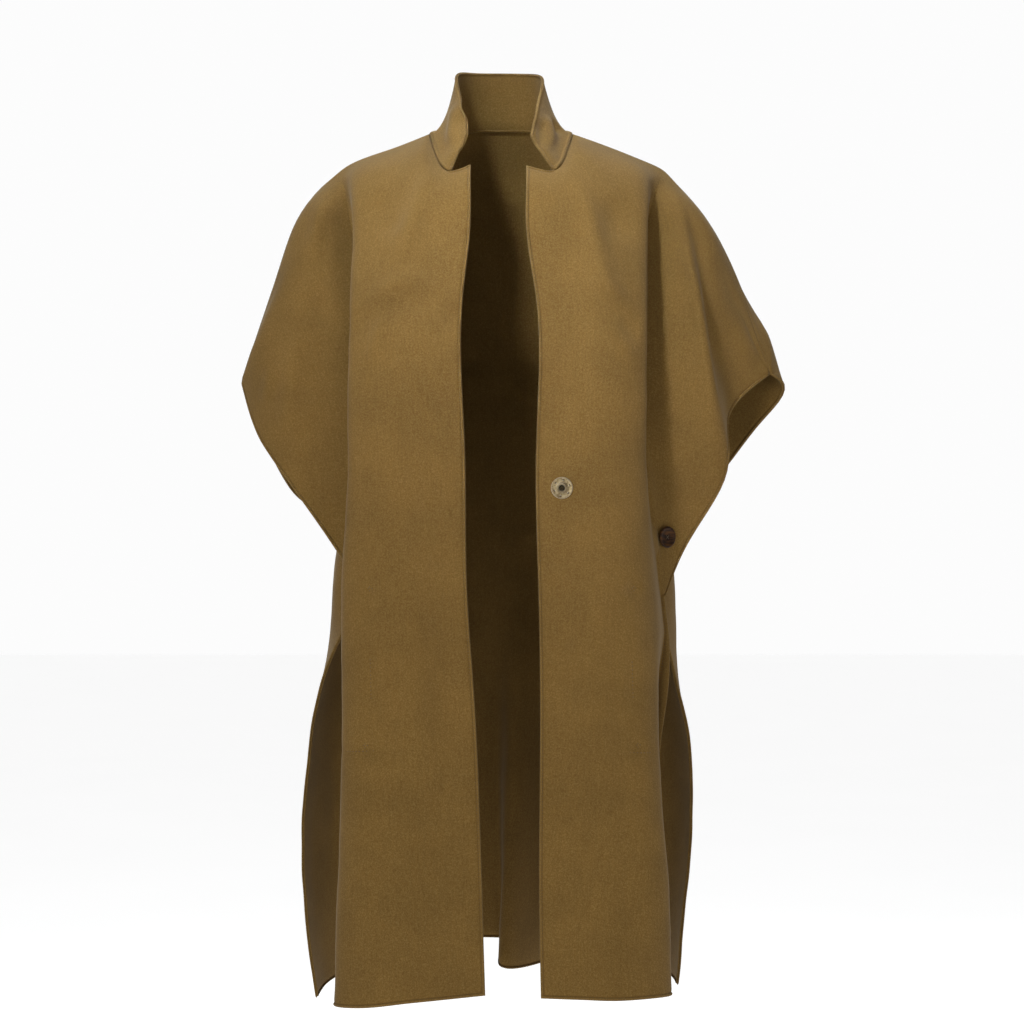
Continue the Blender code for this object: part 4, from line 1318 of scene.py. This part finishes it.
# The turned profiles' (radius, height) corners
SNAP_PROFILES = metres({
    SnapHalf.SOCKET: (
        (0, 0), (10, 0), (11.2, 0.2), (11.8, 0.6), (12, 1), (11.8, 1.4), (11.3, 1.65), (10.8, 1.6),
        (10.2, 1.4), (7.8, 1.4), (6.8, 1.5), (6.1, 1.8), (5.7, 2.6), (5.4, 3.3), (5, 3.7), (4.5, 3.8),
        (3.9, 3.6), (3.4, 3.1), (3.1, 2.4), (3, 0.9), (0, 0.9)),
    SnapHalf.BALL: (
        (0, 0), (10, 0), (11.2, 0.2), (11.8, 0.6), (12, 1), (11.8, 1.4), (11.3, 1.6), (10.8, 1.5),
        (10.2, 1.3), (7, 1.3), (5.8, 1.4), (4.6, 1.6), (3.3, 1.8), (2.6, 2.1), (2.2, 2.6), (2.4, 3.2),
        (2.6, 3.7), (2.4, 4.1), (1.8, 4.4), (0, 4.5)),
})
BUTTON_PROFILE = metres((
    (0, 0), (2.6, 0), (2.7, 0.8), (2.6, 1.6), (3.4, 2.1), (7, 2.2), (9.2, 2.5), (10.8, 3.1), (11.8, 3.9),
    (12.2, 4.7), (12, 5.4), (11.4, 5.9), (10.5, 6), (9.7, 5.8), (9, 5.3), (7.8, 4.9), (0, 4.6)))


@dataclass
class Fastening:
    """A turned piece with sewing holes, and the thread in them.

    Args:
        seat: where it sits.
    """

    seat: Seat

    def make(self, kind: str, profile: tuple, holes: list[Matrix], hole: Size, strands: list[Matrix],
             strand: Size) -> tuple[bpy.types.Object, bpy.types.Object]:
        """The turned piece and its thread.

        Args:
            kind: what the piece's name ends with.
            profile: its profile.
            holes: its holes' frames.
            hole: a hole's length, width and depth.
            strands: the strands' frames.
            strand: a strand's length, width and height.

        Returns:
            The piece and its thread, on their seat.
        """
        obj = object_from(f"{self.seat.node}_{kind}", turned(profile), sharp=50)
        with_holes(obj, holes, hole)
        obj.data.transform(self.seat.frame())
        frames = [self.seat.frame() @ frame for frame in strands]
        LOG.info("%s: %d faces", self.seat.node, len(obj.data.polygons))
        return obj, joined_copies(f"{self.seat.node}_thread", strand, frames, 2)


@dataclass
class Snap(Fastening):
    """Half of the large sew-on snap: a turned disc with six oval sewing holes and its thread.

    Args:
        half: which half.
    """

    half: SnapHalf

    def finish(self, metal: "MetalFinish", recess: "MetalFinish", thread: "ThreadFinish") -> None:
        """Makes the half and its thread, and gives them their finishes.

        Args:
            metal: its finish.
            recess: the finish within the ring, near-black: painted shade in the snap's recess.
            thread: the thread's finish.
        """
        spots = [Matrix.Rotation(math.radians(FIRST_HOLES[self.half] + 60 * number), 4, "Z")
                 @ Matrix.Translation((SNAP_HOLE_RADIUS, 0, 0)) @ Matrix.Rotation(math.pi / 2, 4, "Z")
                 for number in range(6)]
        strands = [spot @ Matrix.Translation(SNAP_STRAND_OFF) for spot in spots]
        obj, strand = self.make("metal", SNAP_PROFILES[self.half], spots, SNAP_HOLE, strands, SNAP_STRAND)
        dress(obj, "snap_metal", self.seat.node, metal, recess)
        dress(strand, "olive_wool", None, thread)
        within = self.seat.frame().inverted()
        # The faces in the snap's recess take the near-black finish: painted shade
        for face in obj.data.polygons:
            middle = within @ face.center
            face.material_index = int(math.hypot(middle.x, middle.y) < SNAP_RECESS and middle.z < SNAP_RIM)


@dataclass
class SideButton(Fastening):
    """A horn button with a raised rim and four holes, sewn on with crossed thread."""

    def finish(self, horn: "HornFinish", thread: "ThreadFinish") -> None:
        """Makes the button and its thread, and gives them their finishes.

        Args:
            horn: its finish.
            thread: the thread's finish.
        """
        offsets = (-BUTTON_HOLE_OFF, BUTTON_HOLE_OFF)
        holes = [Matrix.Translation((x, y, BUTTON_HOLE_HEIGHT)) for x in offsets for y in offsets]
        strands = [Matrix.Translation((0, 0, BUTTON_STRAND_HEIGHT)) @ Matrix.Rotation(turn, 4, "Z")
                   for turn in (math.pi / 4, -math.pi / 4)]
        obj, strand = self.make("horn", BUTTON_PROFILE, holes, BUTTON_HOLE, strands, BUTTON_STRAND)
        dress(obj, "dark_horn", self.seat.node, horn)
        dress(strand, "olive_wool", None, thread)


@dataclass
class NodeBench:
    """A material's node tree, with short ways to add to it.

    Args:
        name: the material's name.
    """

    name: str
    found: bool = field(init=False)
    made: bpy.types.Material = field(init=False)

    def __post_init__(self) -> None:
        """Takes the material of that name, or makes it."""
        self.made = bpy.data.materials.get(self.name)
        self.found = self.made is not None
        if not self.found:
            self.made = bpy.data.materials.new(self.name)
            self.made.use_nodes = True

    @property
    def shader(self) -> bpy.types.Node:
        """The material's Principled BSDF."""
        return self.made.node_tree.nodes["Principled BSDF"]

    def set(self, **values: object) -> None:
        """Sets the shader's own sockets. Names take _ for a space."""
        for name, value in values.items():
            self.shader.inputs[name.replace("_", " ")].default_value = value

    def link(self, source: Socket, name: str) -> None:
        """Links a socket to one of the shader's."""
        self.made.node_tree.links.new(source, self.shader.inputs[name])

    def add(self, kind: str, inputs: dict, **settings: object) -> bpy.types.Node:
        """A new node.

        Args:
            kind: its type.
            inputs: what goes into its sockets, by name or number: a socket to link, or a value.
            settings: its other settings.

        Returns:
            The node.
        """
        node = self.made.node_tree.nodes.new(kind)
        for name, value in settings.items():
            setattr(node, name, value)
        for name, value in inputs.items():
            if isinstance(value, Socket):
                self.made.node_tree.links.new(value, node.inputs[name])
            else:
                node.inputs[name].default_value = value
        return node

    def solid(self) -> Socket:
        """The piece's own Object coordinates."""
        return self.add("ShaderNodeTexCoord", {}).outputs["Object"]

    def cloth(self) -> Socket:
        """Coordinates that follow the cloth."""
        return self.add("ShaderNodeUVMap", {}, uv_map="cloth").outputs[0]

    def noise(self, vector: Socket, scale: float | Size, detail: float = 2.0) -> Socket:
        """A noise texture's value.

        Args:
            vector: its coordinates.
            scale: its scale, or one for each axis.
            detail: its detail.

        Returns:
            The value's socket.
        """
        if isinstance(scale, tuple):
            vector = self.add("ShaderNodeMapping", {"Vector": vector, "Scale": scale}).outputs[0]
            scale = 1.0
        return self.add("ShaderNodeTexNoise", {"Vector": vector, "Scale": scale, "Detail": detail}).outputs[0]

    def math(self, operation: str, first: object, second: object) -> Socket:
        """The result of a sum on two values or sockets."""
        return self.add("ShaderNodeMath", {0: first, 1: second}, operation=operation).outputs[0]

    def blend(self, first: Socket, share: float, second: Socket) -> Socket:
        """A share of the first value and the rest of the second."""
        return self.math("ADD", self.math("MULTIPLY", first, share), self.math("MULTIPLY", second, 1 - share))

    def ranged(self, value: Socket, low: float, high: float, to_low: float, to_high: float) -> Socket:
        """A value mapped smoothly from one range to another, and held at its ends."""
        inputs = {"Value": value, "From Min": low, "From Max": high, "To Min": to_low, "To Max": to_high}
        return self.add("ShaderNodeMapRange", inputs, interpolation_type="SMOOTHSTEP").outputs[0]

    def mix(self, share: object, first: object, second: object, blend: str = "MIX") -> Socket:
        """Two colours mixed."""
        return self.add("ShaderNodeMix", {0: share, 6: first, 7: second}, data_type="RGBA",
                        blend_type=blend).outputs[2]

    def bump(self, height: Socket, strength: float, distance: float) -> None:
        """Bumps the shader's normal."""
        node = self.add("ShaderNodeBump", {"Height": height, "Strength": strength, "Distance": distance})
        self.link(node.outputs[0], "Normal")


def rgba(colour: Colour) -> tuple[float, float, float, float]:
    """A colour with full alpha."""
    return (*colour, 1.0)


@dataclass(frozen=True)
class Finish:
    """A finish, whose material is made once. Colours are linear RGB.

    Args:
        name: the material's name.
        dark: its darkest colour.
        light: its lightest.
    """

    name: str
    dark: Colour
    light: Colour

    def material(self) -> bpy.types.Material:
        """The material."""
        bench = NodeBench(self.name)
        if not bench.found:
            self.paint(bench)
        return bench.made

    def paint(self, bench: NodeBench) -> None:
        """Adds the nodes of the finish. Each kind has its own."""
        raise NotImplementedError

    def tones(self, bench: NodeBench, value: Socket, low: float, high: float) -> Socket:
        """The dark and the light colour, mixed by a value that goes from low to high."""
        return bench.mix(bench.ranged(value, low, high, 0.0, 1.0), rgba(self.dark), rgba(self.light))


@dataclass(frozen=True)
class WoolFinish(Finish):
    """Double-faced wool: a melange of browns with a short nap. A lighter, greyer band is painted along the
    felled edge as the highlight on its roll, and the groove beside it is painted darker as shade.

    Args:
        mid: the colour between dark and light.
        edge: the lighter, greyer colour painted along the felled edge as the highlight on its roll.
    """

    name: str = "melange_wool"
    dark: Colour = (0.104, 0.055, 0.013)
    light: Colour = (0.152, 0.092, 0.027)
    mid: Colour = (0.122, 0.068, 0.017)
    # the painted highlight on the felled edge's roll
    edge: Colour = (0.215, 0.160, 0.085)

    def paint(self, bench: NodeBench) -> None:
        """Adds the cloth's colours, weave and nap.

        Args:
            bench: the material's node tree.
        """
        solid, along = bench.solid(), bench.cloth()
        fibre = bench.noise(solid, 640.0, 3.0)
        speck = bench.noise(solid, 1250.0, 2.0)
        ramp = bench.add("ShaderNodeValToRGB", {"Fac": bench.blend(fibre, 0.55, speck)})
        stops = ramp.color_ramp.elements
        stops[0].position, stops[0].color = 0.38, rgba(self.dark)
        stops[1].position, stops[1].color = 0.62, rgba(self.light)
        stops.new(0.50).color = rgba(self.mid)
        streaks = bench.blend(bench.noise(along, (430.0, 34.0, 1.0), 3.0), 0.62,
                              bench.noise(along, (40.0, 380.0, 1.0), 3.0))
        cloud = bench.noise(solid, 17.0, 3.0)
        shade = bench.math("MULTIPLY", bench.ranged(streaks, 0.35, 0.65, 0.95, 1.05),
                           bench.ranged(cloud, 0.3, 0.7, 0.93, 1.07))
        grey = bench.add("ShaderNodeCombineColor", {0: shade, 1: shade, 2: shade}).outputs[0]
        cloth = bench.mix(1.0, ramp.outputs[0], grey, "MULTIPLY")
        raw = bench.add("ShaderNodeAttribute", {}, attribute_name="raw_edge").outputs["Fac"]
        # Painted highlight: a lighter, greyer band along the felled edge, where its roll catches the light
        worn = bench.mix(0.65, rgba(self.edge), cloth)
        cloth = bench.mix(bench.ranged(raw, 0.0027, 0.0035, 0.12, 0.0), cloth, worn)
        # Painted shade: the cloth is painted darker along the groove beside the felled edge
        groove_shade = bench.math("MULTIPLY", bench.ranged(raw, 0.0024, 0.0032, 0.0, 1.0),
                            bench.ranged(raw, 0.0037, 0.0048, 1.0, 0.0))
        bench.link(bench.mix(bench.math("MULTIPLY", groove_shade, 0.6), cloth, rgba(self.dark)), "Base Color")
        nap = bench.noise(along, (1500.0, 520.0, 1.0), 3.0)
        bench.bump(bench.blend(nap, 0.6, fibre), 0.40, 0.0005)
        bench.set(Roughness=0.95, Sheen_Weight=0.07, Sheen_Roughness=0.5, Sheen_Tint=rgba((0.80, 0.80, 0.72)),
                  Specular_IOR_Level=0.1)


@dataclass(frozen=True)
class ThreadFinish(Finish):
    """Dark sewing thread, twisted."""

    name: str = "dark_thread"
    dark: Colour = (0.030, 0.017, 0.006)
    light: Colour = (0.075, 0.045, 0.018)

    def paint(self, bench: NodeBench) -> None:
        """Adds the thread's twist.

        Args:
            bench: the material's node tree.
        """
        twist = bench.noise(bench.solid(), 2600.0, 2.0)
        bench.link(self.tones(bench, twist, 0.35, 0.65), "Base Color")
        bench.bump(twist, 0.4, 0.0003)
        bench.set(Roughness=0.8, Sheen_Weight=0.1)


@dataclass(frozen=True)
class CottonFinish(Finish):
    """Twilled pocket cotton."""

    name: str = "twilled_cotton"
    dark: Colour = (0.105, 0.066, 0.024)
    light: Colour = (0.190, 0.125, 0.052)

    def paint(self, bench: NodeBench) -> None:
        """Adds the twill and its flecks.

        Args:
            bench: the material's node tree.
        """
        along = bench.cloth()
        slanted = bench.add("ShaderNodeMapping", {"Vector": along, "Rotation": (0.0, 0.0, math.radians(28)),
                                                  "Scale": (90.0, 90.0, 1.0)}).outputs[0]
        twill = bench.add("ShaderNodeTexWave", {"Vector": slanted, "Scale": 1.0, "Distortion": 0.6,
                                                "Detail": 1.0}).outputs["Fac"]
        fleck = bench.noise(along, (900.0, 260.0, 1.0), 2.0)
        bench.link(self.tones(bench, bench.blend(twill, 0.4, fleck), 0.25, 0.75), "Base Color")
        bench.bump(twill, 0.3, 0.0003)
        bench.set(Roughness=0.85, Sheen_Weight=0.15)


@dataclass(frozen=True)
class MetalFinish(Finish):
    """Antique snap metal: worn champagne brass, greyer where it rubs. A near-black copy of it is painted in
    its recess as shade.

    Args:
        worn: its colour along the edges.
    """

    name: str = "antique_metal"
    dark: Colour = (0.140, 0.100, 0.050)
    light: Colour = (0.250, 0.195, 0.115)
    worn: Colour = (0.360, 0.320, 0.255)

    def paint(self, bench: NodeBench) -> None:
        """Adds the tarnish, the worn edges and fine scratches.

        Args:
            bench: the material's node tree.
        """
        solid = bench.solid()
        tarnish = bench.noise(solid, 420.0, 4.0)
        edges = bench.add("ShaderNodeNewGeometry", {}).outputs["Pointiness"]
        metal = self.tones(bench, tarnish, 0.35, 0.65)
        bench.link(bench.mix(bench.ranged(edges, 0.52, 0.60, 0.0, 0.8), metal, rgba(self.worn)), "Base Color")
        bench.link(bench.ranged(tarnish, 0.3, 0.7, 0.30, 0.52), "Roughness")
        bench.bump(bench.noise(solid, 1500.0, 2.0), 0.08, 0.0002)
        bench.set(Metallic=1.0)


# A near-black copy of the metal, painted into the snap's recess as shade
RECESS_SHADE_METAL = MetalFinish("tarnished_metal", dark=(0.010, 0.008, 0.005), light=(0.040, 0.030, 0.018),
                        worn=(0.080, 0.070, 0.055))


@dataclass(frozen=True)
class HornFinish(Finish):
    """Polished dark horn, streaked."""

    name: str = "streaked_horn"
    dark: Colour = (0.012, 0.004, 0.001)
    light: Colour = (0.062, 0.024, 0.005)

    def paint(self, bench: NodeBench) -> None:
        """Adds the horn's streaks and its polish.

        Args:
            bench: the material's node tree.
        """
        solid = bench.solid()
        grain = bench.noise(solid, (90.0, 90.0, 420.0), 4.0)
        bench.link(self.tones(bench, grain, 0.35, 0.7), "Base Color")
        bench.link(bench.ranged(grain, 0.3, 0.7, 0.38, 0.55), "Roughness")
        bench.bump(bench.noise(solid, 900.0, 2.0), 0.05, 0.0002)
        bench.set(Specular_IOR_Level=0.12)


@dataclass
class Studio:
    """A plain pale floor, soft studio light and a camera where the photograph was taken from."""

    floor_height: float = -1.42
    camera_place: Size = (0.0126, -2.8, -0.4356)
    focal_share: float = 2436 / 1024        # focal length over the picture's width
    sensor: float = 36.0
    dim: float = 0.32
    floor_glow: float = 0.50
    lit: float = 0.975

    def build(self) -> None:
        """Floor, lights, world and camera."""
        self.floor()
        side, daylight = (0.5, 1.1), (0.96, 0.98, 0.93)
        self.light("key", (-0.55, -1.22, 0.92), 1.02, (0.25, 0.40), (0.90, 1.0, 1.12),
                   aim=(0.015, -0.08, -0.10), spread=24.0)
        self.light("front_right", (-0.75, -1.75, -0.30), 14.3, side, daylight)
        self.light("front_left", (0.95, -1.70, -0.30), 6.0, side, daylight)
        self.light("top", (0.0, 0.1, 1.7), 26.0, (1.6, 1.0), (0.92, 0.98, 1.0))
        self.light("behind", (-0.90, 1.90, 0.30), 14.0, (0.8, 1.1), daylight)
        self.surroundings()
        bpy.context.scene.view_settings.view_transform = "Standard"
        data = bpy.data.cameras.new("camera")
        data.sensor_width = self.sensor
        data.lens = self.focal_share * self.sensor
        camera = linked(bpy.data.objects.new("camera", data))
        camera.location = self.camera_place
        camera.rotation_euler = (math.pi / 2, 0.0, 0.0)
        bpy.context.scene.camera = camera

    def surroundings(self) -> None:
        """A white studio: its paper behind the coat and the ceiling are lit, its front part is dimmer."""
        world = bpy.data.worlds.new("studio")
        world.use_nodes = True
        tree = world.node_tree
        place = tree.nodes.new("ShaderNodeTexCoord")
        toward = tree.nodes.new("ShaderNodeVectorMath")
        toward.operation = "DOT_PRODUCT"
        toward.inputs[1].default_value = (0.0, 1.0, 0.5)
        shade = tree.nodes.new("ShaderNodeMapRange")
        limits = {"From Min": 0.45, "From Max": 0.95, "To Min": self.dim, "To Max": self.lit}
        for name, value in limits.items():
            shade.inputs[name].default_value = value
        tree.links.new(place.outputs["Generated"], toward.inputs[0])
        tree.links.new(toward.outputs["Value"], shade.inputs["Value"])
        tree.links.new(shade.outputs[0], tree.nodes["Background"].inputs["Strength"])
        tree.nodes["Background"].inputs["Color"].default_value = (1.0, 1.0, 1.0, 1.0)
        bpy.context.scene.world = world

    def floor(self) -> None:
        """A wide pale floor below the coat."""
        mesh = bmesh.new()
        bmesh.ops.create_grid(mesh, x_segments=2, y_segments=2, size=14.0)
        bmesh.ops.translate(mesh, vec=(0.0, 0.0, self.floor_height), verts=mesh.verts)
        floor = object_from("floor", mesh)
        bench = NodeBench("pale_floor")
        cloud = bench.noise(bench.solid(), 3.0, 2.0)
        bench.link(bench.mix(cloud, (0.80, 0.80, 0.80, 1.0), (0.84, 0.84, 0.84, 1.0)), "Base Color")
        bench.set(Roughness=0.9, Emission_Color=rgba((1.0, 1.0, 1.0)), Emission_Strength=self.floor_glow)
        floor.data.materials.append(bench.made)

    def light(self, name: str, place: Size, power: float, size: tuple[float, float], colour: Colour,
              aim: Size = (0.0, 0.0, -0.4), spread: float = 180.0) -> None:
        """A soft rectangular light.

        Args:
            name: its name.
            place: where it stands.
            power: its power in watts.
            size: its width and height.
            colour: its colour.
            aim: the place that it faces.
            spread: how wide its beam is, in degrees.
        """
        data = bpy.data.lights.new(name, "AREA")
        data.shape = "RECTANGLE"
        data.size, data.size_y = size
        data.energy, data.color, data.spread = power, colour, math.radians(spread)
        lamp = linked(bpy.data.objects.new(name, data))
        lamp.location = place
        lamp.rotation_euler = (Vector(aim) - Vector(place)).to_track_quat("-Z", "Y").to_euler()


def tack_rows(panel: Panel) -> Rows:
    """The lines of the pocket's catch stitches on a front, laid on its cloth from in front.

    Args:
        panel: the front.

    Returns:
        Each line as points and outward directions.
    """
    shown = ~np.isnan(panel.surface[..., 0])
    rows, columns = shown.shape
    index = np.cumsum(shown.ravel()).reshape(shown.shape) - 1
    quads = [(index[r, c], index[r, c + 1], index[r + 1, c + 1], index[r + 1, c])
             for r in range(rows - 1) for c in range(columns - 1) if shown[r:r + 2, c:c + 2].all()]
    tree = BVHTree.FromPolygons([Vector(point) for point in panel.surface[shown]], quads)
    found = []
    for start, end in POCKET_TACKS[panel.name]:
        line = [between(start, end, share) for share in np.linspace(0, 1, TACK_POINTS)]
        hits = [tree.ray_cast(Vector((x, -1.0, z)), Vector((0, 1, 0))) for x, z in line]
        hits = [(place, normal * (-1 if normal.y > 0 else 1)) for place, normal, _, _ in hits if place]
        if len(hits) > 1:
            found.append(tuple(np.array(values) for values in zip(*hits)))
    return found


def main() -> None:
    """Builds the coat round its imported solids."""
    logging.basicConfig(level=logging.INFO, format="%(message)s")
    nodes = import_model()["nodes"]
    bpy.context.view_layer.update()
    Studio().build()
    seats = {name: Seat(name, facing) for name, facing in FACINGS.items()}
    for name, seat in seats.items():
        seat.read(nodes[name])
        FASTENINGS.append(seat.place)
    wool, thread = WoolFinish(), ThreadFinish()
    fronts = [Front(f"front_{side.value}", ("collar", "back"), side=side) for side in Side]
    back = Back("back", ("collar",))
    root = np.concatenate([fronts[1].neckline[:-1], back.neckline, fronts[0].neckline[-2::-1]])
    for panel in (*fronts, back, Collar("collar", (), root=root)):
        panel.finish(wool, thread)
    for front in fronts:
        PocketBag(front).finish(CottonFinish())
    for half in SnapHalf:
        Snap(seats[half.value], half).finish(MetalFinish(), RECESS_SHADE_METAL, thread)
    for side in Side:
        SideButton(seats[f"side_button_{side.value}"]).finish(HornFinish(), thread)


if __name__ == "__main__":
    main()
